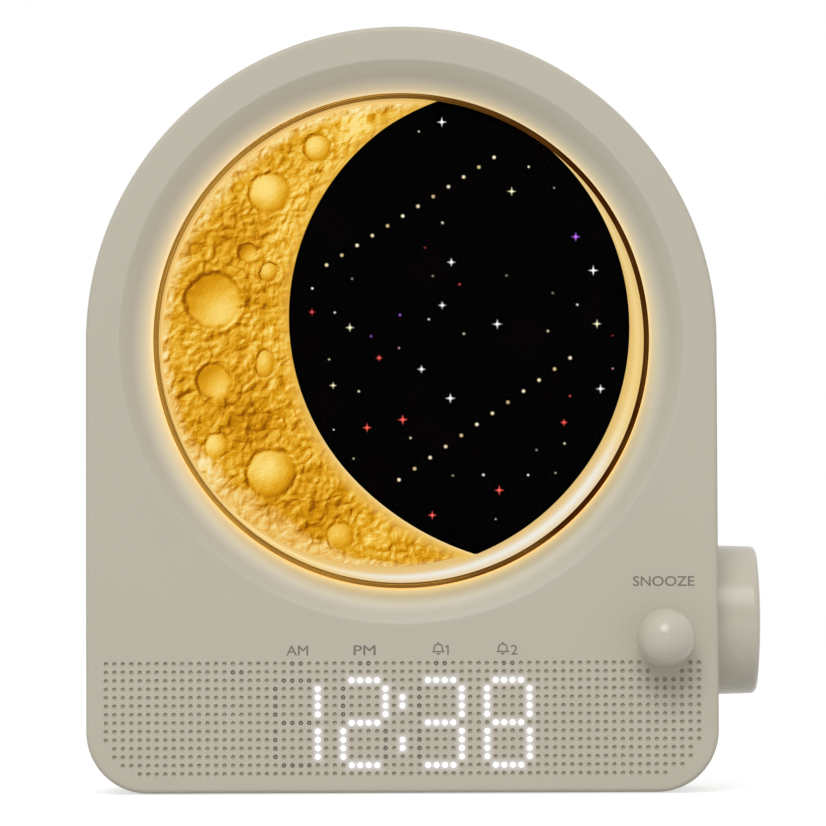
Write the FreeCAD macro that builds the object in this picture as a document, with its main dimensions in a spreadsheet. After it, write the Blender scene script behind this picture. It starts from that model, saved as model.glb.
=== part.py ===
"""Moon phase desk clock, built as separate pieces in millimetres.

Frame: origin at the centre of the rubber base pad's underside, +X to the right of the dial,
-Y towards the viewer, +Z up. Most pieces are drawn in the face frame, whose own X and Y lie in
the front face with the arch centre at 0, 0, and whose Z points out of the face at the viewer.
"""
import FreeCAD
import Part
import Sketcher

import math
import os

from FreeCAD import Placement, Rotation, Vector

SIZES = {
    # case
    "body_width": 164.4,
    "body_depth": 58.0,
    "arch_height": 117.6,
    "corner_radius": 16.0,
    "face_edge_round": 1.2,
    "back_edge_round": 3.0,
    "side_wall": 2.2,
    "face_wall": 2.4,
    "back_wall": 2.4,
    "front_depth": 20.0,
    "lip_depth": 1.8,
    "lip_wall": 1.0,
    "lip_gap": 0.15,
    "overrun": 1.0,
    # base pad
    "pad_length": 112.0,
    "pad_width": 36.0,
    "pad_thick": 0.8,
    "pad_proud": 0.3,
    "pad_gap": 0.1,
    "pad_round": 8.0,
    # dish around the moon
    "dish_flare": 8.8,
    "dish_depth": 4.2,
    "dish_back": 2.4,
    "dish_rib": 3.4,
    "ring_gap": 0.2,
    # turning bezel, its window and the night shade
    "bezel_radius": 65.0,
    "bezel_proud": 1.6,
    "bezel_lip_radius": 63.3,
    "bezel_lip_thick": 1.1,
    "bezel_seat_radius": 64.2,
    "bezel_round": 0.7,
    "bead_height": 0.2,
    "bead_half_width": 0.2,
    "turn_gap": 0.1,
    "window_thick": 1.5,
    "window_gap": 0.05,
    "shade_thick": 0.7,
    "limb_x": -3.6,
    "limb_y": 3.4,
    "limb_radius": 62.9,
    "dark_x": 31.9,
    "dark_y": 6.1,
    "dark_radius": 61.1,
    "star_hole_radius": 0.45,
    "star_a_x": -19.4,
    "star_a_y": 19.8,
    "star_a_dx": 43.8,
    "star_a_dy": 28.0,
    "star_b_x": -0.7,
    "star_b_y": -36.3,
    "star_b_dx": 44.7,
    "star_b_dy": 31.6,
    # moon tray and moon face
    "tray_gap": 0.2,
    "tray_rim_thick": 1.2,
    "tray_radius": 63.6,
    "tray_back_depth": 20.0,
    "recess_radius": 62.7,
    "recess_foot_radius": 62.5,
    "face_seat_depth": 7.0,
    "face_gap": 0.2,
    "face_thick": 2.5,
    "face_dome": 3.0,
    "cavity_radius": 57.5,
    "crater_depth": 0.7,
    # halo diffuser
    "halo_wall": 0.9,
    "halo_flange_radius": 70.0,
    "halo_flange_thick": 1.5,
    "halo_post_radius": 2.4,
    "halo_post_circle": 67.2,
    # moon lamp board
    "lamp_board_radius": 69.0,
    "board_thick": 1.6,
    "lamp_side": 3.0,
    "lamp_height": 0.8,
    "lamp_circle": 44.0,
    "lamp_inner_circle": 20.0,
    "halo_lamp_circle": 66.3,
    "halo_lamp_side": 2.2,
    # dot display
    "dot_pitch": 2.2,
    "dot_top": 84.0,
    "dot_radius": 0.55,
    "sheet_margin": 4.7,
    "sheet_over": 1.1,
    "sheet_under": 2.4,
    "sheet_thick": 0.8,
    "frame_rim": 3.0,
    "frame_depth": 4.0,
    "display_board_margin": 3.5,
    "display_post_gap": 0.6,
    "display_post_y": 12.5,
    "display_post_radius": 2.2,
    "bar_width": 1.4,
    "bar_height": 1.1,
    # snooze ball
    "ball_radius": 7.6,
    "ball_x": 68.0,
    "ball_drop": 77.5,
    "ball_clear": 0.3,
    "stem_radius": 3.0,
    "stem_gap": 0.1,
    "stem_in_ball": 4.0,
    "guide_radius": 5.4,
    "guide_depth": 9.0,
    "clip_radius": 4.6,
    "clip_thick": 0.8,
    "clip_groove": 0.7,
    "clip_gap": 0.1,
    "stem_end_depth": 11.4,
    "press_travel": 1.5,
    "plunger_radius": 1.7,
    "plunger_gap": 0.1,
    "plunger_length": 4.3,
    "snooze_switch_side": 6.2,
    "snooze_switch_height": 3.6,
    "snooze_board_depth": 17.4,
    "snooze_board_width": 15.0,
    "snooze_board_height": 23.0,
    "snooze_post_y": 8.8,
    "snooze_post_radius": 2.0,
    # volume knob
    "knob_radius": 19.75,
    "knob_tip_radius": 19.45,
    "knob_length": 12.0,
    "knob_gap": 0.5,
    "knob_dome": 1.0,
    "knob_round": 1.6,
    "knob_wall": 2.4,
    "knob_floor": 3.0,
    "knob_boss_radius": 5.2,
    "knob_drop": 73.0,
    "knob_depth": 29.0,
    "shaft_radius": 3.0,
    "shaft_gap": 0.05,
    "shaft_length": 8.2,
    "shaft_tail": 4.0,
    "bush_radius": 3.5,
    "bush_length": 3.6,
    "bush_gap": 0.1,
    "encoder_side": 12.0,
    "encoder_height": 6.5,
    "washer_radius": 5.6,
    "washer_thick": 0.5,
    "nut_radius": 5.4,
    "nut_thick": 1.6,
    "encoder_board_side": 16.0,
    # case screws
    "screw_radius": 1.5,
    "screw_head_radius": 2.8,
    "screw_head_height": 1.8,
    "screw_gap": 0.05,
    "screw_clear": 0.2,
    "boss_radius": 3.2,
    "tube_radius": 4.4,
    "tube_recess": 28.0,
    "pilot_start": 9.8,
    "top_screw_y": 74.0,
    "side_screw_x": 74.0,
    "side_screw_drop": 30.0,
    "foot_screw_x": 64.0,
    "foot_screw_rise": 7.2,
    # small screws for boards
    "small_screw_radius": 0.9,
    "small_head_radius": 1.7,
    "small_head_height": 1.1,
    "small_screw_length": 4.0,
    # speaker
    "slot_radius": 1.0,
    "slot_pitch": 4.4,
    "slot_field_radius": 20.5,
    "speaker_side": 50.0,
    "speaker_corner": 6.0,
    "speaker_opening": 21.5,
    "speaker_flange": 1.5,
    "speaker_throat": 12.5,
    "speaker_basket_depth": 10.5,
    "speaker_metal": 0.9,
    "gasket_thick": 0.8,
    "gasket_radius": 24.4,
    "magnet_radius": 16.0,
    "magnet_height": 8.0,
    "cone_top_radius": 18.2,
    "cone_thick": 0.6,
    "coil_radius": 6.5,
    "cone_depth": 7.0,
    "cap_rise": 2.2,
    "surround_rise": 1.3,
    "speaker_hole_radius": 1.1,
    "speaker_hole_offset": 21.2,
    # main board and what is on it
    "main_board_width": 114.0,
    "main_board_height": 50.0,
    "main_board_gap": 4.4,
    "main_board_depth": 49.0,
    "main_post_x": 52.5,
    "main_post_y": 21.5,
    "main_post_radius": 2.6,
    "chip_side": 9.0,
    "chip_height": 1.2,
    "capacitor_radius": 3.0,
    "capacitor_height": 7.0,
    "connector_length": 8.0,
    "connector_width": 4.0,
    "connector_height": 4.5,
    # leads between the boards
    "lead_thick": 0.8,
    "lead_width": 2.0,
    "ribbon_width": 6.0,
    "lead_bend": 5.0,
    "lead_inset": 6.0,
    "lead_edge": 1.5,
    "volume_lead_gap": 7.9,
    # rear keys
    "key_radius": 3.9,
    "key_gap": 0.2,
    "key_rest": 0.1,
    "key_flange_radius": 5.0,
    "key_flange_thick": 1.0,
    "key_post_radius": 1.4,
    "key_post_in": 2.0,
    "key_pitch": 14.0,
    "key_rise": 15.0,
    "key_travel": 0.8,
    "key_switch_side": 6.0,
    "key_switch_height": 3.4,
    "key_switch_gap": 0.1,
    # supply socket
    "socket_width": 8.9,
    "socket_height": 3.2,
    "socket_below": 17.0,
    "socket_inset": 0.6,
    "socket_gap": 0.35,
    "socket_wall": 0.35,
    "tongue_width": 6.6,
    "tongue_height": 0.7,
    # backup cell
    "cell_x": -36.0,
    "cell_below": 10.0,
    "cell_radius": 10.0,
    "cell_thick": 3.2,
    "cell_gap": 0.2,
    "holder_wall": 1.2,
    "holder_floor": 1.0,
    "cover_radius": 13.0,
    "cover_gap": 0.2,
    "cover_thick": 2.6,
    "cover_inset": 0.1,
    "lug_radius": 14.6,
    "lug_thick": 1.2,
    "lug_half_width": 2.6,
    "cell_round": 0.4,
    "notch_half_width": 3.0,
    "coin_slot_length": 16.0,
    "coin_slot_width": 2.0,
    "coin_slot_depth": 1.3,
}

DOT_COLUMNS = 71
DIGIT_COLUMNS = (20, 28, 37, 45)
COLUMNS_TO_NEXT_BAR = 5
DIGIT_TOP_ROW = 2
SEGMENT_DOTS = 4
DOT_LINES = 14
COLON_COLUMN = 35
COLON_ROWS = (4, 5, 9, 10)
INDICATOR_COLUMNS = (22, 23, 30, 31, 39, 40, 47, 48)
SENSOR_COLUMNS = (15, 16)
STAR_HOLES = 12
KEYS = 6
CONNECTORS = 5
MOON_CONNECTOR = 0
SPEAKER_CONNECTOR = 1
DISPLAY_CONNECTOR = 2
SNOOZE_CONNECTOR = 3
SPEAKER_SLOTS = 9
LAMPS = 12
INNER_LAMPS = 6
# where the craters lie and how wide they are, as shares of the moon's radius from its centre
CRATER_SHARES = (
    (-0.50, 0.58, 0.085),
    (-0.29, 0.75, 0.060),
    (-0.73, 0.13, 0.105),
    (-0.49, 0.24, 0.036),
    (-0.73, -0.22, 0.075),
    (-0.51, -0.15, 0.045),
    (-0.70, -0.50, 0.056),
    (-0.47, -0.62, 0.095),
    (-0.18, -0.88, 0.056),
    (0.30, 0.42, 0.090),
    (0.46, -0.30, 0.110),
    (0.10, -0.12, 0.070),
)
NEAR_SHARE = 1e-6
QUARTER_TURN = 90.0
EIGHTH_TURN = 45.0
FULL_TURN = 360.0
HALO_FIXINGS = 4
HEXAGON = 6
CENTRE_POINT = 3

doc = FreeCAD.newDocument("MoonClock")
sheet = doc.addObject("Spreadsheet::Sheet", "Sizes")


class Size:
    """A length that knows its number and the spreadsheet expression it comes from."""

    def __init__(self, number, text):
        self.number = number
        self.text = text

    @staticmethod
    def of(value):
        return value if isinstance(value, Size) else Size(float(value), repr(float(value)))

    def __add__(self, other):
        other = Size.of(other)
        return Size(self.number + other.number, f"({self.text} + {other.text})")

    def __radd__(self, other):
        return Size.of(other) + self

    def __sub__(self, other):
        other = Size.of(other)
        return Size(self.number - other.number, f"({self.text} - {other.text})")

    def __rsub__(self, other):
        return Size.of(other) - self

    def __mul__(self, other):
        other = Size.of(other)
        return Size(self.number * other.number, f"({self.text} * {other.text})")

    def __rmul__(self, other):
        return Size.of(other) * self

    def __truediv__(self, other):
        other = Size.of(other)
        return Size(self.number / other.number, f"({self.text} / {other.text})")

    def __neg__(self):
        return Size(-self.number, f"(0 - {self.text})")

    def root(self):
        return Size(math.sqrt(self.number), f"sqrt({self.text})")


class Sizes:
    """The driving dimensions, each one an attribute that is also an aliased cell."""


d = Sizes()
for row, (alias, number) in enumerate(SIZES.items(), start=1):
    sheet.set(f"A{row}", alias)
    sheet.set(f"B{row}", str(number))
    sheet.setAlias(f"B{row}", alias)
    setattr(d, alias, Size(number, f"Sizes.{alias}"))
doc.recompute()

ZERO = Size.of(0)
HALF_WIDTH = d.body_width / 2
LIMB_X, LIMB_Y = d.limb_x, d.limb_y


# Placing

def bind(thing, name, size):
    """Ties one property to the spreadsheet."""
    thing.setExpression(name, Size.of(size).text)


def in_face(thing):
    """Stands a piece drawn in the face frame up at the front of the clock."""
    thing.Placement = Placement(Vector(0, 0, 0), Rotation(Vector(1, 0, 0), QUARTER_TURN))
    bind(thing, "Placement.Base.y", -(d.body_depth / 2))
    bind(thing, "Placement.Base.z", d.pad_proud + d.arch_height)
    return thing


def on_side(thing):
    """Lays a piece whose own Z is the volume knob's axis onto the right-hand side wall."""
    thing.Placement = Placement(Vector(0, 0, 0), Rotation(Vector(0, 1, 0), QUARTER_TURN))
    bind(thing, "Placement.Base.x", HALF_WIDTH)
    bind(thing, "Placement.Base.y", d.knob_depth - d.body_depth / 2)
    bind(thing, "Placement.Base.z", d.pad_proud + d.arch_height - d.knob_drop)
    return thing


def named(thing, label):
    thing.Label = label
    return thing


# Simple solids and booleans

def cylinder(radius, low, high, x=ZERO, y=ZERO):
    """An upright cylinder between two levels."""
    made = doc.addObject("Part::Cylinder", "Cylinder")
    bind(made, "Radius", radius)
    bind(made, "Height", high - low)
    bind(made, "Placement.Base.x", x)
    bind(made, "Placement.Base.y", y)
    bind(made, "Placement.Base.z", low)
    return made


def block(width, height, low, high, x=ZERO, y=ZERO):
    """A box centred on x, y between two levels."""
    made = doc.addObject("Part::Box", "Block")
    bind(made, "Length", width)
    bind(made, "Width", height)
    bind(made, "Height", high - low)
    bind(made, "Placement.Base.x", x - Size.of(width) / 2)
    bind(made, "Placement.Base.y", y - Size.of(height) / 2)
    bind(made, "Placement.Base.z", low)
    return made


def fuse(*things):
    made = doc.addObject("Part::MultiFuse", "Fuse")
    made.Shapes = list(things)
    made.Refine = True
    return made


def cut(base, *tools):
    made = doc.addObject("Part::Cut", "Cut")
    made.Base = base
    made.Tool = tools[0] if len(tools) == 1 else group(*tools)
    made.Refine = True
    return made


def common(*things):
    made = doc.addObject("Part::MultiCommon", "Common")
    made.Shapes = list(things)
    return made


def group(*things):
    """Separate solids kept as one node."""
    made = doc.addObject("Part::Compound", "Group")
    made.Links = list(things)
    return made


def turned(x, y, degrees):
    """x, y turned about the face frame's centre by a fixed bearing."""
    c, s = math.cos(math.radians(degrees)), math.sin(math.radians(degrees))
    return x * c - y * s, x * s + y * c


# Bodies and sketches

def body(label):
    made = doc.addObject("PartDesign::Body", "Body")
    made.Label = label
    return made


def sketch(owner, role="XY_Plane", level=ZERO):
    """A sketch on one of the body's own planes, moved along its normal by level."""
    made = owner.newObject("Sketcher::SketchObject", "Sketch")
    plane = next(f for f in owner.Origin.OriginFeatures if f.Role == role)
    made.AttachmentSupport = (plane, [""])
    made.MapMode = "FlatFace"
    bind(made, "AttachmentOffset.Base.z", level)
    return made


def dimension(drawing, kind, geometry, point, size):
    """A driving dimension from the sketch origin, tied to the spreadsheet."""
    size = Size.of(size)
    if kind == "Radius":
        index = drawing.addConstraint(Sketcher.Constraint(kind, geometry, size.number))
    else:
        index = drawing.addConstraint(
            Sketcher.Constraint(kind, -1, 1, geometry, point, size.number))
    drawing.setExpression(f"Constraints[{index}]", size.text)


def polygon(drawing, points):
    """A closed outline through points, each one dimensioned from the origin."""
    points = [(Size.of(x), Size.of(y)) for x, y in points]
    first = None
    for i, (x, y) in enumerate(points):
        nx, ny = points[(i + 1) % len(points)]
        line = drawing.addGeometry(Part.LineSegment(
            Vector(x.number, y.number, 0), Vector(nx.number, ny.number, 0)), False)
        if first is None:
            first = line
        else:
            drawing.addConstraint(Sketcher.Constraint("Coincident", line - 1, 2, line, 1))
    drawing.addConstraint(Sketcher.Constraint("Coincident", first + len(points) - 1, 2, first, 1))
    for i, (x, y) in enumerate(points):
        dimension(drawing, "DistanceX", first + i, 1, x)
        dimension(drawing, "DistanceY", first + i, 1, y)


def circle(drawing, radius, x=ZERO, y=ZERO):
    x, y, radius = Size.of(x), Size.of(y), Size.of(radius)
    made = drawing.addGeometry(
        Part.Circle(Vector(x.number, y.number, 0), Vector(0, 0, 1), radius.number), False)
    dimension(drawing, "DistanceX", made, CENTRE_POINT, x)
    dimension(drawing, "DistanceY", made, CENTRE_POINT, y)
    dimension(drawing, "Radius", made, 0, radius)


def arch(drawing, inset):
    """The case outline, a half circle over straight sides with rounded bottom corners."""
    inset = Size.of(inset)
    across, height, corner = HALF_WIDTH - inset, d.arch_height - inset, d.corner_radius - inset
    r, low, c = across.number, height.number, corner.number
    up = Vector(0, 0, 1)
    outline = [
        Part.ArcOfCircle(Part.Circle(Vector(), up, r), 0, math.pi),
        Part.LineSegment(Vector(-r, 0, 0), Vector(-r, c - low, 0)),
        Part.ArcOfCircle(Part.Circle(Vector(c - r, c - low, 0), up, c), math.pi, 1.5 * math.pi),
        Part.LineSegment(Vector(c - r, -low, 0), Vector(r - c, -low, 0)),
        Part.ArcOfCircle(Part.Circle(Vector(r - c, c - low, 0), up, c), 1.5 * math.pi, 2 * math.pi),
        Part.LineSegment(Vector(r, c - low, 0), Vector(r, 0, 0)),
    ]
    ring = [drawing.addGeometry(item, False) for item in outline]
    top, left, left_corner, foot, right_corner, right = ring
    drawing.addConstraint(Sketcher.Constraint("Coincident", top, CENTRE_POINT, -1, 1))
    for one, other in zip(ring, ring[1:] + [top]):
        drawing.addConstraint(Sketcher.Constraint("Tangent", one, 2, other, 1))
    drawing.addConstraint(Sketcher.Constraint("Vertical", left))
    drawing.addConstraint(Sketcher.Constraint("Vertical", right))
    drawing.addConstraint(Sketcher.Constraint("Equal", left_corner, right_corner))
    dimension(drawing, "Radius", top, 0, across)
    dimension(drawing, "Radius", left_corner, 0, corner)
    dimension(drawing, "DistanceY", foot, 1, -height)


def slot(drawing, radius, half_length, x=ZERO, y=ZERO, upright=True):
    """An obround, by default standing upright."""
    x, y = Size.of(x), Size.of(y)
    cx, cy, r, h = x.number, y.number, radius.number, half_length.number
    way = Vector(0, 1, 0) if upright else Vector(1, 0, 0)
    side = Vector(1, 0, 0) if upright else Vector(0, -1, 0)
    middle, up = Vector(cx, cy, 0), Vector(0, 0, 1)
    turn = 0 if upright else -math.pi / 2
    ends = (middle + way * h, middle - way * h)
    first = drawing.addGeometry(Part.ArcOfCircle(
        Part.Circle(ends[0], up, r), turn, turn + math.pi), False)
    drawing.addGeometry(Part.LineSegment(ends[0] - side * r, ends[1] - side * r), False)
    drawing.addGeometry(Part.ArcOfCircle(
        Part.Circle(ends[1], up, r), turn + math.pi, turn + 2 * math.pi), False)
    drawing.addGeometry(Part.LineSegment(ends[1] + side * r, ends[0] + side * r), False)
    for i in range(4):
        drawing.addConstraint(Sketcher.Constraint("Tangent", first + i, 2, first + (i + 1) % 4, 1))
    dimension(drawing, "Radius", first, 0, radius)
    for index, sign in ((first, 1), (first + 2, -1)):
        ex = x if upright else x + sign * half_length
        ey = y + sign * half_length if upright else y
        dimension(drawing, "DistanceX", index, 3, ex)
        dimension(drawing, "DistanceY", index, 3, ey)


def pad(owner, drawing, length, outward=False):
    """Adds material inwards from the sketch, or outwards at the viewer."""
    made = owner.newObject("PartDesign::Pad", "Pad")
    made.Profile = drawing
    made.Reversed = not outward
    bind(made, "Length", length)
    owner.Tip = made
    return made


def pocket(owner, drawing, length=None, outward=False):
    """Cuts inwards from the sketch, to a length or through all that is there."""
    made = owner.newObject("PartDesign::Pocket", "Pocket")
    made.Profile = drawing
    made.Reversed = outward
    if length is None:
        made.Type = "ThroughAll"
    else:
        bind(made, "Length", length)
    owner.Tip = made
    return made


def spun(owner, points, cutting=False):
    """A profile in the X Z plane turned all the way round the body's Z axis."""
    drawing = sketch(owner, "XZ_Plane")
    polygon(drawing, points)
    made = owner.newObject("PartDesign::Groove" if cutting else "PartDesign::Revolution", "Spin")
    made.Profile = drawing
    made.ReferenceAxis = (drawing, ["V_Axis"])
    made.Angle = FULL_TURN
    owner.Tip = made
    return made


def rounded(owner, radius, wanted):
    """Rounds the edges of the body's tip that the test picks."""
    doc.recompute()
    base = owner.Tip
    names = [f"Edge{i}" for i, edge in enumerate(base.Shape.Edges, start=1) if wanted(edge)]
    made = owner.newObject("PartDesign::Fillet", "Round")
    made.Base = (base, names)
    bind(made, "Radius", radius)
    owner.Tip = made
    return made


def flat_at(edge, level):
    """Whether an edge lies wholly at one level of the body's own Z."""
    box, near = edge.BoundBox, d.body_width.number * NEAR_SHARE
    return abs(box.ZMin - level.number) < near and abs(box.ZMax - level.number) < near


def upright(edge, thickness):
    """Whether an edge runs through a plate's whole thickness."""
    return abs(edge.BoundBox.ZLength - thickness.number) < thickness.number / 2


def extruded(points, low, high):
    """A prism through fixed points, for repeated small cuts."""
    face = Part.Face(Part.makePolygon(points + [points[0]]))
    face.translate(Vector(0, 0, low))
    return face.extrude(Vector(0, 0, high - low))


# Levels along the face frame's Z, from the front face inwards

FACE_BACK = -d.face_wall
SPLIT = -d.front_depth
BACK = -d.body_depth
BACK_INNER = d.back_wall - d.body_depth
DISH_BACK = -(d.dish_depth + d.dish_back)
BORE_RADIUS = d.tray_radius + d.turn_gap + d.halo_wall + d.ring_gap
DISH_RADIUS = BORE_RADIUS + d.dish_flare
LIP_BACK = d.bezel_proud - d.bezel_lip_thick
WINDOW_BACK = LIP_BACK - d.window_thick
SHADE_BACK = WINDOW_BACK - d.shade_thick
TRAY_FRONT = SHADE_BACK - d.tray_gap
HALO_FRONT = TRAY_FRONT - d.tray_rim_thick
SKIRT_END = HALO_FRONT + d.tray_gap
BEAD_LEVEL = (TRAY_FRONT + HALO_FRONT) / 2
FLANGE_BACK = DISH_BACK - d.halo_flange_thick
TRAY_BACK = -d.tray_back_depth
LAMP_BOARD_BACK = TRAY_BACK - d.board_thick
SHEET_BACK = FACE_BACK - d.sheet_thick
DISPLAY_BOARD_FRONT = SHEET_BACK - d.frame_depth
DISPLAY_BOARD_BACK = DISPLAY_BOARD_FRONT - d.board_thick
SHEET_HEIGHT = d.dot_pitch * (DOT_LINES - 1) + d.sheet_over + d.sheet_under
DISPLAY_MIDDLE = d.sheet_over - d.dot_top - SHEET_HEIGHT / 2
DIGIT_COLUMNS_SPAN = max(DIGIT_COLUMNS) + COLUMNS_TO_NEXT_BAR - min(DIGIT_COLUMNS)
SHEET_WIDTH = d.dot_pitch * DIGIT_COLUMNS_SPAN + 2 * d.sheet_margin
DISPLAY_POST_X = SHEET_WIDTH / 2 + d.display_post_gap + d.display_post_radius
DISPLAY_BOARD_WIDTH = 2 * (DISPLAY_POST_X + d.display_board_margin)
BALL_BACK = d.press_travel + d.ball_clear
SNOOZE_BOARD_FRONT = -d.snooze_board_depth
SNOOZE_BOARD_BACK = SNOOZE_BOARD_FRONT - d.board_thick
MAIN_BOARD_BACK = -d.main_board_depth
MAIN_BOARD_FRONT = MAIN_BOARD_BACK + d.board_thick
CELL_HOLDER_BACK = MAIN_BOARD_BACK - d.holder_floor - d.cell_thick

# How far below the arch centre things lie, from the bottom wall up

MAIN_BOARD_DROP = d.arch_height - d.side_wall - d.main_board_gap - d.main_board_height / 2
KEY_DROP = MAIN_BOARD_DROP - d.key_rise
SOCKET_DROP = MAIN_BOARD_DROP + d.socket_below
CELL_DROP = MAIN_BOARD_DROP + d.cell_below
FOOT_SCREW_DROP = d.arch_height - d.foot_screw_rise
CONNECTOR_TOP = MAIN_BOARD_FRONT + d.connector_height
CONNECTOR_ROW = d.main_board_height / 2 - d.connector_width - MAIN_BOARD_DROP
CONNECTOR_XS = [2 * (i + 1) * d.connector_length - d.main_post_x for i in range(CONNECTORS)]

CASE_SCREWS = (
    (ZERO, d.top_screw_y),
    (-d.side_screw_x, -d.side_screw_drop),
    (d.side_screw_x, -d.side_screw_drop),
    (-d.foot_screw_x, -FOOT_SCREW_DROP),
    (d.foot_screw_x, -FOOT_SCREW_DROP),
)
DISPLAY_POSTS = [(sx * DISPLAY_POST_X, DISPLAY_MIDDLE + sy * d.display_post_y)
                 for sx in (-1, 1) for sy in (-1, 1)]
SNOOZE_POSTS = [(d.ball_x, -d.ball_drop + sy * d.snooze_post_y) for sy in (-1, 1)]
MAIN_POSTS = [(sx * d.main_post_x, -MAIN_BOARD_DROP + sy * d.main_post_y)
              for sx in (-1, 1) for sy in (-1, 1)]
SPEAKER_POSTS = [(sx * d.speaker_hole_offset, sy * d.speaker_hole_offset)
                 for sx in (-1, 1) for sy in (-1, 1)]
HALO_SCREWS = [turned(d.halo_post_circle, ZERO, QUARTER_TURN * k) for k in range(HALO_FIXINGS)]
HALO_POSTS = [turned(x, y, EIGHTH_TURN) for x, y in HALO_SCREWS]
KEY_XS = [d.key_pitch * (i - (KEYS - 1) / 2) for i in range(KEYS)]


def dot_x(column):
    return d.dot_pitch * (column - (DOT_COLUMNS - 1) / 2)


def dot_y(row):
    return -(d.dot_top + d.dot_pitch * row)


def segment_bars():
    """The seven bars of each digit, as lists of dot columns and rows."""
    bars = []
    top = DIGIT_TOP_ROW
    half = SEGMENT_DOTS + 1
    for left in DIGIT_COLUMNS:
        right = left + COLUMNS_TO_NEXT_BAR
        across = range(left + 1, right)
        for row_of in (top, top + half, top + 2 * half):
            bars.append([(column, row_of) for column in across])
        for column in (left, right):
            bars.append([(column, top + 1 + k) for k in range(SEGMENT_DOTS)])
            bars.append([(column, top + half + 1 + k) for k in range(SEGMENT_DOTS)])
    return bars


def lamp_groups():
    """Every dot with a lamp behind it, grouped as the lamps are."""
    half = len(COLON_ROWS) // 2
    groups = segment_bars()
    groups += [[(COLON_COLUMN, r) for r in COLON_ROWS[:half]]]
    groups += [[(COLON_COLUMN, r) for r in COLON_ROWS[half:]]]
    pairs = [INDICATOR_COLUMNS[i:i + 2] for i in range(0, len(INDICATOR_COLUMNS), 2)]
    groups += [[(c, 0) for c in pair] for pair in pairs]
    groups += [[(c, 1) for c in SENSOR_COLUMNS]]
    return groups


# Case

def front_case():
    shell = body("front_shell")
    drawing = sketch(shell)
    arch(drawing, ZERO)
    pad(shell, drawing, d.front_depth)
    rounded(shell, d.face_edge_round, lambda edge: flat_at(edge, ZERO))
    drawing = sketch(shell, level=FACE_BACK)
    arch(drawing, d.side_wall)
    pocket(shell, drawing)
    drawing = sketch(shell, level=SPLIT + d.lip_depth + d.lip_gap)
    arch(drawing, d.side_wall - d.lip_wall - d.lip_gap)
    pocket(shell, drawing)
    drawing = sketch(shell, level=FACE_BACK)
    circle(drawing, DISH_RADIUS + d.dish_rib)
    pad(shell, drawing, FACE_BACK - DISH_BACK)
    drawing = sketch(shell, level=FACE_BACK)
    for x, y in CASE_SCREWS:
        circle(drawing, d.boss_radius, x, y)
    pad(shell, drawing, FACE_BACK - SPLIT)
    drawing = sketch(shell, level=FACE_BACK)
    for x, y in DISPLAY_POSTS:
        circle(drawing, d.display_post_radius, x, y)
    pad(shell, drawing, FACE_BACK - DISPLAY_BOARD_FRONT)
    drawing = sketch(shell, level=FACE_BACK)
    for x, y in SNOOZE_POSTS:
        circle(drawing, d.snooze_post_radius, x, y)
    pad(shell, drawing, FACE_BACK - SNOOZE_BOARD_FRONT)
    drawing = sketch(shell, level=FACE_BACK)
    circle(drawing, d.guide_radius, d.ball_x, -d.ball_drop)
    pad(shell, drawing, d.guide_depth - d.face_wall)
    slope = d.dish_depth.number / (DISH_RADIUS - BORE_RADIUS).number
    inside = BORE_RADIUS - d.overrun
    spun(shell, [
        (inside, -(d.dish_depth + slope * d.overrun)),
        (DISH_RADIUS + d.overrun, slope * d.overrun),
        (inside, slope * d.overrun),
    ], cutting=True)
    drawing = sketch(shell, level=d.overrun)
    circle(drawing, BORE_RADIUS)
    pocket(shell, drawing)
    drawing = sketch(shell, level=d.overrun)
    circle(drawing, d.stem_radius + d.stem_gap, d.ball_x, -d.ball_drop)
    pocket(shell, drawing)
    drawing = sketch(shell, level=-d.pilot_start)
    for x, y in CASE_SCREWS:
        circle(drawing, d.screw_radius + d.screw_gap, x, y)
    pocket(shell, drawing)
    drawing = sketch(shell, level=FACE_BACK - d.sheet_thick)
    for x, y in DISPLAY_POSTS + SNOOZE_POSTS:
        circle(drawing, d.small_screw_radius + d.screw_gap, x, y)
    pocket(shell, drawing)
    drawing = sketch(shell, level=FLANGE_BACK + d.small_screw_length + d.screw_clear)
    for x, y in HALO_SCREWS:
        circle(drawing, d.small_screw_radius + d.screw_gap, x, y)
    pocket(shell, drawing)
    windows = doc.addObject("Part::Feature", "Windows")
    bearings = [2 * math.pi * k / HEXAGON for k in range(HEXAGON)]
    corners = [Vector(math.cos(a), math.sin(a), 0) * d.dot_radius.number for a in bearings]
    prism = extruded(corners, -d.face_wall.number - d.overrun.number, d.overrun.number)
    solids = []
    for dots in lamp_groups():
        for column, line in dots:
            solids.append(prism.translated(Vector(dot_x(column).number, dot_y(line).number, 0)))
    windows.Shape = Part.makeCompound(solids)
    return named(cut(in_face(cut(shell, windows)), pad_seat()), "front_case")


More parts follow.
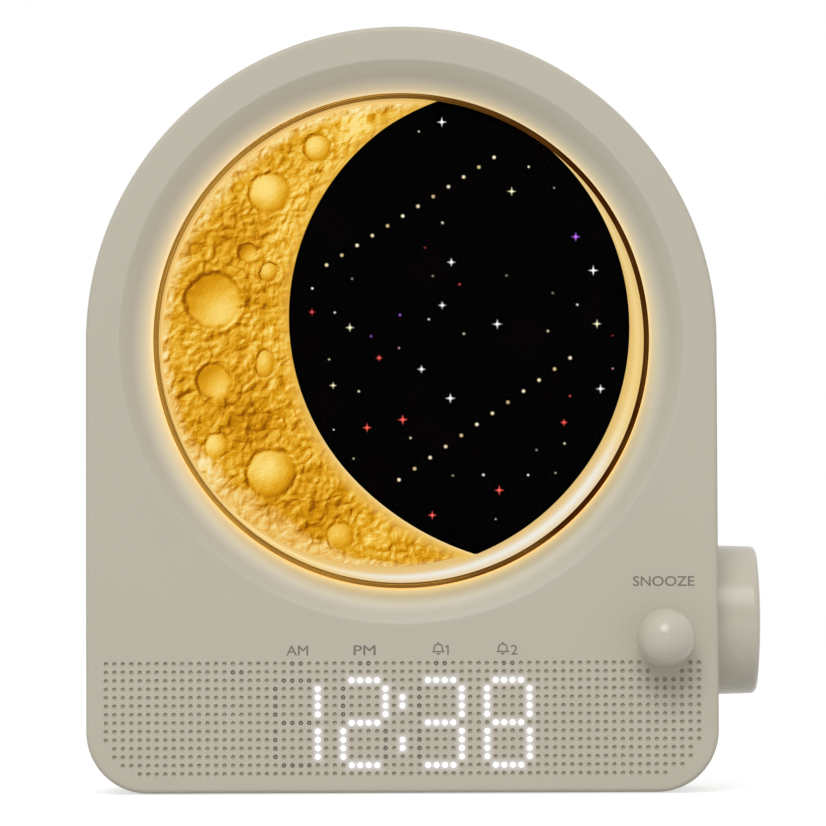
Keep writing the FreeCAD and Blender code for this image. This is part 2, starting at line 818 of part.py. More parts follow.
def rear_case():
    shell = body("rear_shell")
    drawing = sketch(shell, level=SPLIT)
    arch(drawing, ZERO)
    pad(shell, drawing, d.body_depth - d.front_depth)
    rounded(shell, d.back_edge_round, lambda edge: flat_at(edge, BACK))
    drawing = sketch(shell, level=SPLIT)
    arch(drawing, d.side_wall)
    pocket(shell, drawing, SPLIT - BACK_INNER)
    drawing = sketch(shell, level=SPLIT)
    arch(drawing, d.side_wall - d.lip_wall)
    arch(drawing, d.side_wall)
    pad(shell, drawing, d.lip_depth, outward=True)
    drawing = sketch(shell, level=SPLIT)
    for x, y in CASE_SCREWS:
        circle(drawing, d.tube_radius, x, y)
    pad(shell, drawing, SPLIT - BACK_INNER)
    drawing = sketch(shell, level=MAIN_BOARD_BACK)
    for x, y in MAIN_POSTS:
        circle(drawing, d.main_post_radius, x, y)
    pad(shell, drawing, MAIN_BOARD_BACK - BACK_INNER)
    drawing = sketch(shell, level=BACK_INNER + d.gasket_thick)
    for x, y in SPEAKER_POSTS:
        circle(drawing, d.main_post_radius, x, y)
    pad(shell, drawing, d.gasket_thick)
    drawing = sketch(shell, level=BACK)
    for x, y in CASE_SCREWS:
        circle(drawing, d.screw_head_radius + d.screw_clear, x, y)
    pocket(shell, drawing, d.tube_recess, outward=True)
    drawing = sketch(shell, level=SPLIT + d.overrun)
    for x, y in CASE_SCREWS:
        circle(drawing, d.screw_radius + d.screw_clear, x, y)
    pocket(shell, drawing)
    drawing = sketch(shell, level=MAIN_BOARD_BACK + d.overrun)
    for x, y in MAIN_POSTS:
        circle(drawing, d.small_screw_radius + d.screw_gap, x, y)
    pocket(shell, drawing, d.small_screw_length + d.overrun)
    drawing = sketch(shell, level=BACK_INNER + d.gasket_thick + d.overrun)
    for x, y in SPEAKER_POSTS:
        circle(drawing, d.small_screw_radius + d.screw_gap, x, y)
    pocket(shell, drawing, d.small_screw_length - d.speaker_flange + d.overrun)
    drawing = sketch(shell, level=BACK)
    for x in KEY_XS:
        circle(drawing, d.key_radius + d.key_gap, x, -KEY_DROP)
    pocket(shell, drawing, d.back_wall + d.overrun, outward=True)
    drawing = sketch(shell, level=BACK)
    for i in range(SPEAKER_SLOTS):
        x = d.slot_pitch * (i - (SPEAKER_SLOTS - 1) / 2)
        reach = math.sqrt(d.slot_field_radius.number ** 2 - x.number ** 2)
        share = reach / d.slot_field_radius.number
        slot(drawing, d.slot_radius, d.slot_field_radius * share - d.slot_radius, x)
    pocket(shell, drawing, d.back_wall + d.overrun, outward=True)
    drawing = sketch(shell, level=BACK)
    slot(drawing, d.socket_height / 2 + d.socket_gap, (d.socket_width - d.socket_height) / 2,
         ZERO, -SOCKET_DROP, upright=False)
    circle(drawing, d.cover_radius + d.cover_gap, d.cell_x, -CELL_DROP)
    pocket(shell, drawing, d.back_wall + d.overrun, outward=True)
    notch = d.lug_radius + d.cover_gap
    drawing = sketch(shell, level=BACK)
    polygon(drawing, [
        (d.cell_x - d.notch_half_width, -CELL_DROP - notch),
        (d.cell_x + d.notch_half_width, -CELL_DROP - notch),
        (d.cell_x + d.notch_half_width, -CELL_DROP + notch),
        (d.cell_x - d.notch_half_width, -CELL_DROP + notch),
    ])
    pocket(shell, drawing, d.back_wall + d.overrun, outward=True)
    drawing = sketch(shell, "YZ_Plane", level=HALF_WIDTH + d.overrun)
    circle(drawing, d.bush_radius + d.bush_gap, -d.knob_drop, -d.knob_depth)
    pocket(shell, drawing, d.side_wall + 2 * d.overrun)
    return named(cut(in_face(shell), pad_seat()), "rear_case")


def case_screws():
    """Five screws from the back, their heads deep in the rear case's tubes."""
    seat = BACK + d.tube_recess
    screws = [fuse(cylinder(d.screw_head_radius, seat - d.screw_head_height, seat, x, y),
                   cylinder(d.screw_radius, seat, -d.pilot_start - d.overrun, x, y))
              for x, y in CASE_SCREWS]
    return named(in_face(group(*screws)), "case_screws")


def foot_slab(label, margin, low):
    """The pad's outline grown by a margin, from a level up to the pad's top."""
    made = body(label)
    drawing = sketch(made, level=low)
    half_length, half_width = d.pad_length / 2 + margin, d.pad_width / 2 + margin
    polygon(drawing, [(-half_length, -half_width), (half_length, -half_width),
                      (half_length, half_width), (-half_length, half_width)])
    thickness = d.pad_thick - low
    pad(made, drawing, thickness, outward=True)
    rounded(made, d.pad_round + margin, lambda edge: upright(edge, thickness))
    return made


def base_pad():
    return foot_slab("base_pad", ZERO, ZERO)


def pad_seat():
    """The shallow recess across both halves of the case that the pad is glued into."""
    return foot_slab("pad_seat", d.pad_gap, -d.overrun)


# Moon unit

def moon_bezel():
    ring = body("moon_bezel")
    lip, seat, outer = d.bezel_lip_radius, d.bezel_seat_radius, d.bezel_radius
    spun(ring, [
        (lip, LIP_BACK),
        (lip, d.bezel_proud),
        (outer, d.bezel_proud),
        (outer, SKIRT_END),
        (seat, SKIRT_END),
        (seat, BEAD_LEVEL - d.bead_half_width),
        (seat - d.bead_height, BEAD_LEVEL),
        (seat, BEAD_LEVEL + d.bead_half_width),
        (seat, LIP_BACK),
    ])
    rounded(ring, d.bezel_round, lambda edge: flat_at(edge, d.bezel_proud))
    return in_face(ring)


def phase_window():
    disc = cylinder(d.bezel_seat_radius - d.window_gap, WINDOW_BACK, LIP_BACK)
    return named(in_face(group(disc)), "phase_window")


def night_shade():
    """A plate bounded by the moon's limb and the dark disc's edge, pierced by two rows of stars."""
    limb = cylinder(d.limb_radius, SHADE_BACK, WINDOW_BACK, LIMB_X, LIMB_Y)
    dark = cylinder(d.dark_radius, SHADE_BACK, WINDOW_BACK, d.dark_x, d.dark_y)
    round_edge = cylinder(d.bezel_seat_radius - d.window_gap, SHADE_BACK, WINDOW_BACK)
    holes = []
    rows = ((d.star_a_x, d.star_a_y, d.star_a_dx, d.star_a_dy),
            (d.star_b_x, d.star_b_y, d.star_b_dx, d.star_b_dy))
    for x, y, dx, dy in rows:
        for i in range(STAR_HOLES):
            share = i / (STAR_HOLES - 1)
            holes.append(cylinder(d.star_hole_radius, SHADE_BACK - d.overrun,
                                  WINDOW_BACK + d.overrun, x + dx * share, y + dy * share))
    return named(in_face(cut(common(limb, dark, round_edge), *holes)), "night_shade")


def recess_corners():
    """Where the recess's round wall meets the moon's limb."""
    wall, limb = d.recess_radius, d.recess_foot_radius
    apart = LIMB_X * LIMB_X + LIMB_Y * LIMB_Y
    along = (wall * wall - limb * limb + apart) / (2 * apart)
    aside = (wall * wall / apart - along * along).root()
    first = (LIMB_X * along + LIMB_Y * aside, LIMB_Y * along - LIMB_X * aside)
    last = (LIMB_X * along - LIMB_Y * aside, LIMB_Y * along + LIMB_X * aside)
    return first, last


def recess_outline(drawing, radius, x, y):
    """The recess's round wall on the lit side, closed on the other by an arc about x, y."""
    first, last = recess_corners()
    up = Vector(0, 0, 1)
    for centre, size, start, end in (
            ((ZERO, ZERO), d.recess_radius, first, last), ((x, y), radius, last, first)):
        cx, cy = (part.number for part in centre)
        from_angle = math.atan2(start[1].number - cy, start[0].number - cx)
        to_angle = math.atan2(end[1].number - cy, end[0].number - cx)
        if to_angle < from_angle:
            to_angle += 2 * math.pi
        ring = Part.Circle(Vector(cx, cy, 0), up, size.number)
        drawing.addGeometry(Part.ArcOfCircle(ring, from_angle, to_angle), False)
    drawing.addConstraint(Sketcher.Constraint("Coincident", 0, 2, 1, 1))
    drawing.addConstraint(Sketcher.Constraint("Coincident", 1, 2, 0, 1))
    drawing.addConstraint(Sketcher.Constraint("Coincident", 0, 3, -1, 1))
    dimension(drawing, "Radius", 0, 0, d.recess_radius)
    dimension(drawing, "Radius", 1, 0, radius)
    dimension(drawing, "DistanceX", 0, 1, first[0])
    dimension(drawing, "DistanceX", 0, 2, last[0])


def moon_tray():
    """The reflector cup. Its recess leans over to the moon's limb, which leaves a bright crescent."""
    cup = body("moon_tray")
    rim_radius = d.bezel_seat_radius - d.turn_gap
    drawing = sketch(cup, level=TRAY_FRONT)
    circle(drawing, rim_radius)
    pad(cup, drawing, d.tray_rim_thick)
    drawing = sketch(cup, level=HALO_FRONT)
    circle(drawing, d.tray_radius)
    pad(cup, drawing, HALO_FRONT - TRAY_BACK)
    mouth = sketch(cup, level=TRAY_FRONT)
    recess_outline(mouth, d.recess_radius, ZERO, ZERO)
    foot = sketch(cup, level=-d.face_seat_depth)
    recess_outline(foot, d.recess_foot_radius, LIMB_X, LIMB_Y)
    lean = cup.newObject("PartDesign::SubtractiveLoft", "Lean")
    lean.Profile = mouth
    lean.Sections = [foot]
    lean.Ruled = True
    cup.Tip = lean
    seat = sketch(cup, level=-d.face_seat_depth)
    recess_outline(seat, d.recess_foot_radius, LIMB_X, LIMB_Y)
    pocket(cup, seat, d.face_thick)
    drawing = sketch(cup, level=-d.face_seat_depth)
    circle(drawing, d.cavity_radius, LIMB_X / 2, LIMB_Y / 2)
    pocket(cup, drawing)
    spun(cup, [
        (rim_radius - d.bead_height, BEAD_LEVEL),
        (rim_radius + d.bead_height, BEAD_LEVEL - 2 * d.bead_half_width),
        (rim_radius + d.bead_height, BEAD_LEVEL + 2 * d.bead_half_width),
    ], cutting=True)
    return in_face(cup)


def moon_face():
    """The lit face, a low dome with bowl craters, trimmed where the tray's round wall crosses it."""
    low, high = -(d.face_seat_depth + d.face_thick), -d.face_seat_depth
    radius = d.recess_foot_radius - d.face_gap
    slab = cylinder(radius, low, high + d.face_dome, LIMB_X, LIMB_Y)
    inside = cylinder(d.recess_radius - d.face_gap, low, high + d.face_dome)
    ball_radius = (radius * radius + d.face_dome * d.face_dome) / (2 * d.face_dome)
    ball = doc.addObject("Part::Sphere", "Dome")
    bind(ball, "Radius", ball_radius)
    bind(ball, "Placement.Base.x", LIMB_X)
    bind(ball, "Placement.Base.y", LIMB_Y)
    bind(ball, "Placement.Base.z", high + d.face_dome - ball_radius)
    craters = []
    for across, up, wide in CRATER_SHARES:
        mouth = radius * wide
        dig = d.crater_depth
        bowl_radius = (mouth * mouth + dig * dig) / (2 * dig)
        away = math.hypot(across, up)
        share = math.sqrt(1 - away ** 2 * (radius.number / ball_radius.number) ** 2)
        crater = doc.addObject("Part::Sphere", "Crater")
        bind(crater, "Radius", bowl_radius)
        bind(crater, "Placement.Base.x", LIMB_X + radius * across)
        bind(crater, "Placement.Base.y", LIMB_Y + radius * up)
        surface = high + d.face_dome - ball_radius + ball_radius * share
        bind(crater, "Placement.Base.z", surface + bowl_radius - dig)
        craters.append(crater)
    return named(in_face(cut(common(slab, inside, ball), *craters)), "moon_face")


def halo_diffuser():
    """A milky ring that sends lamp light out under the bezel, with the flange that holds the unit."""
    ring = body("halo_diffuser")
    inner = d.tray_radius + d.turn_gap
    outer = inner + d.halo_wall
    spun(ring, [
        (inner, HALO_FRONT),
        (outer, HALO_FRONT),
        (outer, DISH_BACK),
        (d.halo_flange_radius, DISH_BACK),
        (d.halo_flange_radius, FLANGE_BACK),
        (inner, FLANGE_BACK),
    ])
    drawing = sketch(ring, level=FLANGE_BACK)
    for x, y in HALO_POSTS:
        circle(drawing, d.halo_post_radius, x, y)
    pad(ring, drawing, FLANGE_BACK - TRAY_BACK)
    drawing = sketch(ring, level=DISH_BACK + d.overrun)
    for x, y in HALO_SCREWS:
        circle(drawing, d.small_screw_radius + d.screw_clear, x, y)
    pocket(ring, drawing)
    drawing = sketch(ring, level=FLANGE_BACK - d.overrun)
    for x, y in HALO_POSTS:
        circle(drawing, d.small_screw_radius + d.screw_gap, x, y)
    pocket(ring, drawing)
    return in_face(ring)


def small_screws(places, seat, reach, label):
    """Pan-head screws driven towards the viewer, their heads behind the seat."""
    screws = [fuse(cylinder(d.small_head_radius, seat - d.small_head_height, seat, x, y),
                   cylinder(d.small_screw_radius, seat, seat + reach, x, y))
              for x, y in places]
    return named(in_face(group(*screws)), label)


def moon_lamp_board():
    disc = cylinder(d.lamp_board_radius, LAMP_BOARD_BACK, TRAY_BACK)
    holes = [cylinder(d.small_screw_radius + d.screw_clear, LAMP_BOARD_BACK - d.overrun,
                      TRAY_BACK + d.overrun, x, y) for x, y in HALO_POSTS]
    return named(in_face(cut(disc, *holes)), "moon_lamp_board")


def moon_lamps():
    places = [turned(d.lamp_circle, ZERO, FULL_TURN / LAMPS * k) for k in range(LAMPS)]
    places += [turned(d.lamp_inner_circle, ZERO, FULL_TURN / INNER_LAMPS * k)
               for k in range(INNER_LAMPS)]
    lamps = [block(d.lamp_side, d.lamp_side, TRAY_BACK, TRAY_BACK + d.lamp_height, x, y)
             for x, y in places]
    ring = [turned(d.halo_lamp_circle, ZERO, FULL_TURN / LAMPS * k) for k in range(LAMPS)]
    lamps += [block(d.halo_lamp_side, d.halo_lamp_side, TRAY_BACK,
                    TRAY_BACK + d.lamp_height, x, y) for x, y in ring]
    return named(in_face(group(*lamps)), "moon_lamps")


# Dot display

def display_sheet():
    made = block(SHEET_WIDTH, SHEET_HEIGHT, SHEET_BACK, FACE_BACK, ZERO, DISPLAY_MIDDLE)
    return named(in_face(group(made)), "display_sheet")


def display_frame():
    outer = block(SHEET_WIDTH, SHEET_HEIGHT, DISPLAY_BOARD_FRONT, SHEET_BACK,
                  ZERO, DISPLAY_MIDDLE)
    rim = 2 * d.frame_rim
    inner = block(SHEET_WIDTH - rim, SHEET_HEIGHT - rim, DISPLAY_BOARD_FRONT - d.overrun,
                  SHEET_BACK + d.overrun, ZERO, DISPLAY_MIDDLE)
    return named(in_face(cut(outer, inner)), "display_frame")


def display_lamps():
    """One lamp package behind each bar of a digit, each colon half and each indicator pair."""
    inside = SHEET_WIDTH / 2 - d.frame_rim
    lamps = []
    for dots in lamp_groups():
        columns = [c for c, _ in dots]
        lines = [r for _, r in dots]
        x = (dot_x(min(columns)) + dot_x(max(columns))) / 2
        y = (dot_y(min(lines)) + dot_y(max(lines))) / 2
        if abs(x.number) > inside.number or min(lines) < DIGIT_TOP_ROW:
            continue
        width = d.bar_width + d.dot_pitch * (max(columns) - min(columns))
        height = d.bar_width + d.dot_pitch * (max(lines) - min(lines))
        lamps.append(block(width, height, DISPLAY_BOARD_FRONT,
                           DISPLAY_BOARD_FRONT + d.bar_height, x, y))
    return named(in_face(group(*lamps)), "display_lamps")


def display_board():
    slab = block(DISPLAY_BOARD_WIDTH, SHEET_HEIGHT, DISPLAY_BOARD_BACK,
                 DISPLAY_BOARD_FRONT, ZERO, DISPLAY_MIDDLE)
    holes = [cylinder(d.small_screw_radius + d.screw_clear, DISPLAY_BOARD_BACK - d.overrun,
                      DISPLAY_BOARD_FRONT + d.overrun, x, y) for x, y in DISPLAY_POSTS]
    return named(in_face(cut(slab, *holes)), "display_board")


# Snooze ball

def snooze_ball():
    ball = doc.addObject("Part::Sphere", "Ball")
    bind(ball, "Radius", d.ball_radius)
    bind(ball, "Placement.Base.x", d.ball_x)
    bind(ball, "Placement.Base.y", -d.ball_drop)
    bind(ball, "Placement.Base.z", BALL_BACK + d.ball_radius)
    bore = cylinder(d.stem_radius, ZERO, BALL_BACK + d.stem_in_ball, d.ball_x, -d.ball_drop)
    return named(in_face(cut(ball, bore)), "snooze_ball")


def snooze_stem():
    pin = cylinder(d.stem_radius, -d.stem_end_depth, BALL_BACK + d.stem_in_ball,
                   d.ball_x, -d.ball_drop)
    groove_top = -(d.guide_depth + d.clip_gap)
    wide = cylinder(d.clip_radius, groove_top - d.clip_thick, groove_top, d.ball_x, -d.ball_drop)
    core = cylinder(d.stem_radius - d.clip_groove, groove_top - d.clip_thick - d.overrun,
                    groove_top + d.overrun, d.ball_x, -d.ball_drop)
    return named(in_face(cut(pin, cut(wide, core))), "snooze_stem")


def snooze_clip():
    """The open ring that keeps the stem from pulling out."""
    top = -(d.guide_depth + d.clip_gap)
    low = top - d.clip_thick
    neck = d.stem_radius - d.clip_groove
    ring = cylinder(d.clip_radius, low, top, d.ball_x, -d.ball_drop)
    core = cylinder(neck, low - d.overrun, top + d.overrun, d.ball_x, -d.ball_drop)
    mouth = block(neck, d.clip_radius + d.overrun, low - d.overrun, top + d.overrun,
                  d.ball_x, -d.ball_drop - (d.clip_radius + d.overrun) / 2)
    return named(in_face(cut(ring, core, mouth)), "snooze_clip")


def snooze_plunger():
    made = cylinder(d.plunger_radius, -(d.stem_end_depth + d.plunger_length), -d.stem_end_depth,
                    d.ball_x, -d.ball_drop)
    return named(in_face(group(made)), "snooze_plunger")


def snooze_switch():
    top = SNOOZE_BOARD_FRONT + d.snooze_switch_height
    shell = block(d.snooze_switch_side, d.snooze_switch_side, SNOOZE_BOARD_FRONT, top,
                  d.ball_x, -d.ball_drop)
    bore = cylinder(d.plunger_radius + d.plunger_gap, SNOOZE_BOARD_FRONT - d.overrun,
                    top + d.overrun, d.ball_x, -d.ball_drop)
    return named(in_face(cut(shell, bore)), "snooze_switch")


def snooze_board():
    slab = block(d.snooze_board_width, d.snooze_board_height, SNOOZE_BOARD_BACK,
                 SNOOZE_BOARD_FRONT, d.ball_x, -d.ball_drop)
    holes = [cylinder(d.small_screw_radius + d.screw_clear, SNOOZE_BOARD_BACK - d.overrun,
                      SNOOZE_BOARD_FRONT + d.overrun, x, y) for x, y in SNOOZE_POSTS]
    return named(in_face(cut(slab, *holes)), "snooze_board")


# Volume knob

def volume_knob():
    """A hollow dished cap with an inner boss that grips the shaft."""
    cap = body("knob_cap")
    base, tip = d.knob_gap, d.knob_gap + d.knob_length - d.knob_dome
    spun(cap, [(ZERO, base), (d.knob_radius, base), (d.knob_tip_radius, tip), (ZERO, tip)])
    rounded(cap, d.knob_round, lambda edge: flat_at(edge, tip))
    dome_foot = d.knob_tip_radius - d.knob_round
    dome = common(
        cylinder(dome_foot, tip - d.overrun, tip + d.knob_dome),
        dome_ball(dome_foot, tip, d.knob_dome))
    hollow = cut(
        cylinder(d.knob_radius - d.knob_wall, ZERO, tip - d.knob_floor),
        cylinder(d.knob_boss_radius, -d.overrun, tip))
    foot = cylinder(d.knob_boss_radius + d.overrun, ZERO, BOSS_FOOT)
    bore = cylinder(d.shaft_radius, ZERO, d.shaft_length)
    return named(on_side(cut(fuse(cap, dome), hollow, foot, bore)), "volume_knob")


def dome_ball(foot, level, rise):
    """The ball whose cap stands rise above level over a foot of that radius."""
    radius = (foot * foot + rise * rise) / (2 * rise)
    ball = doc.addObject("Part::Sphere", "CapBall")
    bind(ball, "Radius", radius)
    bind(ball, "Placement.Base.z", level + rise - radius)
    return ball


BOSS_FOOT = d.washer_thick + d.nut_thick + d.bush_length


def encoder_body():
    back = -(d.side_wall + d.encoder_height)
    box = block(d.encoder_side, d.encoder_side, back, -d.side_wall)
    bush = cylinder(d.bush_radius, -d.side_wall - d.overrun, d.bush_length)
    bore = cylinder(d.shaft_radius + d.shaft_gap, -(d.side_wall + d.shaft_tail),
                    d.bush_length + d.overrun)
    return named(on_side(cut(fuse(box, bush), bore)), "encoder_body")


def encoder_shaft():
    made = cylinder(d.shaft_radius, -(d.side_wall + d.shaft_tail), d.shaft_length)
    return named(on_side(group(made)), "encoder_shaft")


def encoder_washer():
    disc = cylinder(d.washer_radius, ZERO, d.washer_thick)
    hole = cylinder(d.bush_radius + d.bush_gap, -d.overrun, d.washer_thick + d.overrun)
    return named(on_side(cut(disc, hole)), "encoder_washer")


def encoder_nut():
    top = d.washer_thick + d.nut_thick
    nut = doc.addObject("Part::Prism", "Nut")
    nut.Polygon = HEXAGON
    bind(nut, "Circumradius", d.nut_radius)
    bind(nut, "Height", d.nut_thick)
    bind(nut, "Placement.Base.z", d.washer_thick)
    hole = cylinder(d.bush_radius + d.screw_gap, ZERO, top + d.overrun)
    return named(on_side(cut(nut, hole)), "encoder_nut")


def encoder_board():
    back = -(d.side_wall + d.encoder_height)
    made = block(d.encoder_board_side, d.encoder_board_side, back - d.board_thick, back)
    return named(on_side(group(made)), "encoder_board")


# Speaker

FLANGE_FRONT = BACK_INNER + d.gasket_thick + d.speaker_flange
FLANGE_REAR = BACK_INNER + d.gasket_thick
SPEAKER_RIM = FLANGE_REAR + d.speaker_flange / 2


def speaker_basket():
    """A square flange facing the back wall, drawn into a cup that carries the magnet."""
    basket = body("speaker_basket")
    drawing = sketch(basket, level=FLANGE_FRONT)
    half = d.speaker_side / 2
    polygon(drawing, [(-half, -half), (half, -half), (half, half), (-half, half)])
    pad(basket, drawing, d.speaker_flange)
    rounded(basket, d.speaker_corner, lambda edge: upright(edge, d.speaker_flange))
    drawing = sketch(basket, level=FLANGE_FRONT + d.overrun)
    circle(drawing, d.speaker_opening)
    pocket(basket, drawing)
    floor = FLANGE_FRONT + d.speaker_basket_depth
    metal = d.speaker_metal
    spun(basket, [
        (d.speaker_throat, floor),
        (d.speaker_opening + metal, FLANGE_FRONT),
        (d.speaker_opening + metal, SPEAKER_RIM),
        (d.speaker_opening, SPEAKER_RIM),
        (d.speaker_opening, FLANGE_FRONT),
        (d.speaker_throat - metal, floor - metal),
        (d.coil_radius + metal, floor - metal),
        (d.coil_radius + metal, floor),
    ])
    drawing = sketch(basket, level=FLANGE_FRONT + d.overrun)
    for x, y in SPEAKER_POSTS:
        circle(drawing, d.speaker_hole_radius, x, y)
    pocket(basket, drawing)
    return in_face(basket)


def speaker_magnet():
    low = FLANGE_FRONT + d.speaker_basket_depth
    made = cylinder(d.magnet_radius, low, low + d.magnet_height)
    return named(in_face(group(made)), "speaker_magnet")


def speaker_cone():
    """Paper cone, dust cap and voice coil in one piece, open towards the back wall."""
    cone_body = body("speaker_cone")
    rim = SPEAKER_RIM
    neck = rim + d.cone_depth
    coil_end = FLANGE_FRONT + d.speaker_basket_depth - d.speaker_metal / 2
    spun(cone_body, [
        (d.cone_top_radius, rim),
        (d.cone_top_radius, rim + d.cone_thick),
        (d.coil_radius, neck + d.cone_thick),
        (d.coil_radius, coil_end),
        (d.coil_radius - d.cone_thick, coil_end),
        (d.coil_radius - d.cone_thick, neck),
        (d.coil_radius / 2, neck - d.cap_rise),
        (ZERO, neck - d.cap_rise),
        (ZERO, neck - d.cap_rise - d.cone_thick),
        (d.coil_radius / 2, neck - d.cap_rise - d.cone_thick),
        (d.coil_radius + d.cone_thick, neck - d.cone_thick),
    ])
    return in_face(cone_body)


def speaker_surround():
    """A half-roll ring between the cone and the basket."""
    roll = body("speaker_surround")
    rim = SPEAKER_RIM
    inner, outer = d.cone_top_radius, d.speaker_opening
    middle = (inner + outer) / 2
    thick = d.cone_thick
    spun(roll, [
        (inner, rim),
        (middle - thick, rim - d.surround_rise / 2),
        (middle + thick, rim - d.surround_rise / 2),
        (outer, rim),
        (outer, rim + thick),
        (middle + thick, rim - d.surround_rise / 2 + thick),
        (middle - thick, rim - d.surround_rise / 2 + thick),
        (inner, rim + thick),
    ])
    return in_face(roll)


def speaker_gasket():
    ring = cut(cylinder(d.gasket_radius, BACK_INNER, FLANGE_REAR),
               cylinder(d.speaker_opening, BACK_INNER - d.overrun, FLANGE_REAR + d.overrun))
    return named(in_face(ring), "speaker_gasket")


def speaker_screws():
    """Screws driven away from the viewer into the back wall."""
    length = d.small_screw_length
    screws = [fuse(cylinder(d.small_head_radius, FLANGE_FRONT,
                            FLANGE_FRONT + d.small_head_height, x, y),
                   cylinder(d.small_screw_radius, FLANGE_FRONT - length + d.screw_gap,
                            FLANGE_FRONT, x, y))
              for x, y in SPEAKER_POSTS]
    return named(in_face(group(*screws)), "speaker_screws")


# Main board

def main_board():
    slab = block(d.main_board_width, d.main_board_height, MAIN_BOARD_BACK, MAIN_BOARD_FRONT,
                 ZERO, -MAIN_BOARD_DROP)
    holes = [cylinder(d.small_screw_radius + d.screw_clear, MAIN_BOARD_BACK - d.overrun,
                      MAIN_BOARD_FRONT + d.overrun, x, y) for x, y in MAIN_POSTS]
    return named(in_face(cut(slab, *holes)), "main_board")


def main_chips():
    """The clock's controller, the radio chip and the amplifier on the board's inner side."""
    top = MAIN_BOARD_FRONT + d.chip_height
    places = ((ZERO, d.chip_side), (-2 * d.chip_side, d.chip_side), (2 * d.chip_side, ZERO))
    chips = [block(d.chip_side, d.chip_side, MAIN_BOARD_FRONT, top, x, y - MAIN_BOARD_DROP)
             for x, y in places]
    return named(in_face(group(*chips)), "main_chips")


def capacitors():
    top = MAIN_BOARD_FRONT + d.capacitor_height
    cans = [cylinder(d.capacitor_radius, MAIN_BOARD_FRONT, top,
                     d.main_post_x - (i + 1) * d.capacitor_radius * 3, -MAIN_BOARD_DROP)
            for i in range(2)]
    return named(in_face(group(*cans)), "capacitors")


def board_connectors():
    plugs = [block(d.connector_length, d.connector_width, MAIN_BOARD_FRONT, CONNECTOR_TOP, x,
                   CONNECTOR_ROW) for x in CONNECTOR_XS]
    return named(in_face(group(*plugs)), "board_connectors")


def main_board_screws():
    """Screws driven away from the viewer into the rear case's posts."""
    screws = [fuse(cylinder(d.small_head_radius, MAIN_BOARD_FRONT,
                            MAIN_BOARD_FRONT + d.small_head_height, x, y),
                   cylinder(d.small_screw_radius,
                            MAIN_BOARD_FRONT - d.small_screw_length, MAIN_BOARD_FRONT, x, y))
              for x, y in MAIN_POSTS]
    return named(in_face(group(*screws)), "main_board_screws")


# Leads, each a flat strip folded in one plane

def lead(label, role, level, width, points):
    """A strip whose side view is given in the body's own plane and that is width across."""
    strip = body(label)
    drawing = sketch(strip, role, level)
    polygon(drawing, points)
    pad(strip, drawing, width, outward=True)
    return in_face(strip)


def ribbon(label, connector, start, board_back):
    """A ribbon from the back of a board down to the front of a connector."""
    thick, bend = d.lead_thick, d.lead_bend
    return lead(label, "YZ_Plane", CONNECTOR_XS[connector] - d.ribbon_width / 2, d.ribbon_width, [
        (start, board_back), (start, board_back - bend),
        (CONNECTOR_ROW, CONNECTOR_TOP + bend), (CONNECTOR_ROW, CONNECTOR_TOP),
        (CONNECTOR_ROW + thick, CONNECTOR_TOP), (CONNECTOR_ROW + thick, CONNECTOR_TOP + bend),
        (start + thick, board_back - bend), (start + thick, board_back),
    ])


def speaker_lead():
    """From the speaker's flange along the board to the side of a connector."""
    thick = d.lead_thick
    start = d.lead_edge - d.speaker_side / 2
    low = MAIN_BOARD_FRONT + d.connector_height / 2
    end = CONNECTOR_ROW + d.connector_width / 2
    middle = CONNECTOR_XS[SPEAKER_CONNECTOR] + d.lead_width
    return lead("speaker_lead", "YZ_Plane", middle - d.lead_width / 2, d.lead_width, [
        (start, FLANGE_FRONT), (start, low), (end, low), (end, low + thick),
        (start + thick, low + thick), (start + thick, FLANGE_FRONT),
    ])


def snooze_lead():
    """From the back of the switch's board over to the front of a connector."""
    thick = d.lead_thick
    start, end = d.ball_x - d.lead_inset, CONNECTOR_XS[SNOOZE_CONNECTOR]
    high = CONNECTOR_TOP + d.lead_bend
    return lead("snooze_lead", "XZ_Plane", thick - CONNECTOR_ROW, d.lead_width, [
        (start, SNOOZE_BOARD_BACK), (start, high + thick), (end, high + thick),
        (end, CONNECTOR_TOP), (end + thick, CONNECTOR_TOP), (end + thick, high),
        (start + thick, high), (start + thick, SNOOZE_BOARD_BACK),
    ])


def volume_lead():
    """From the inner face of the encoder's board to the side of the last connector."""
    thick = d.lead_thick
    board = HALF_WIDTH - d.side_wall - d.encoder_height - d.board_thick
    start, end = board - d.volume_lead_gap, CONNECTOR_XS[-1] + d.connector_length / 2
    high = -d.knob_depth - d.lead_inset
    low = MAIN_BOARD_FRONT + d.connector_height / 2
    return lead("volume_lead", "XZ_Plane", thick - CONNECTOR_ROW, d.lead_width, [
        (board, high + thick), (start, high + thick), (start, low + thick), (end, low + thick),
        (end, low), (start + thick, low), (start + thick, high), (board, high),
    ])


# Rear keys

KEY_INNER = BACK_INNER + d.key_switch_gap
KEY_SWITCH_BACK = MAIN_BOARD_BACK - d.key_switch_height


def rear_key(number):
    """A cap through the back wall, a flange behind it and a post into its switch."""
    x = KEY_XS[number - 1]
    cap = cylinder(d.key_radius, BACK - d.key_travel - d.key_rest,
                   KEY_INNER + d.key_flange_thick, x, -KEY_DROP)
    flange = cylinder(d.key_flange_radius, KEY_INNER, KEY_INNER + d.key_flange_thick,
                      x, -KEY_DROP)
    post = cylinder(d.key_post_radius, KEY_INNER, KEY_SWITCH_BACK + d.key_post_in,
                    x, -KEY_DROP)
    return named(in_face(fuse(cap, flange, post)), f"rear_key_{number}")


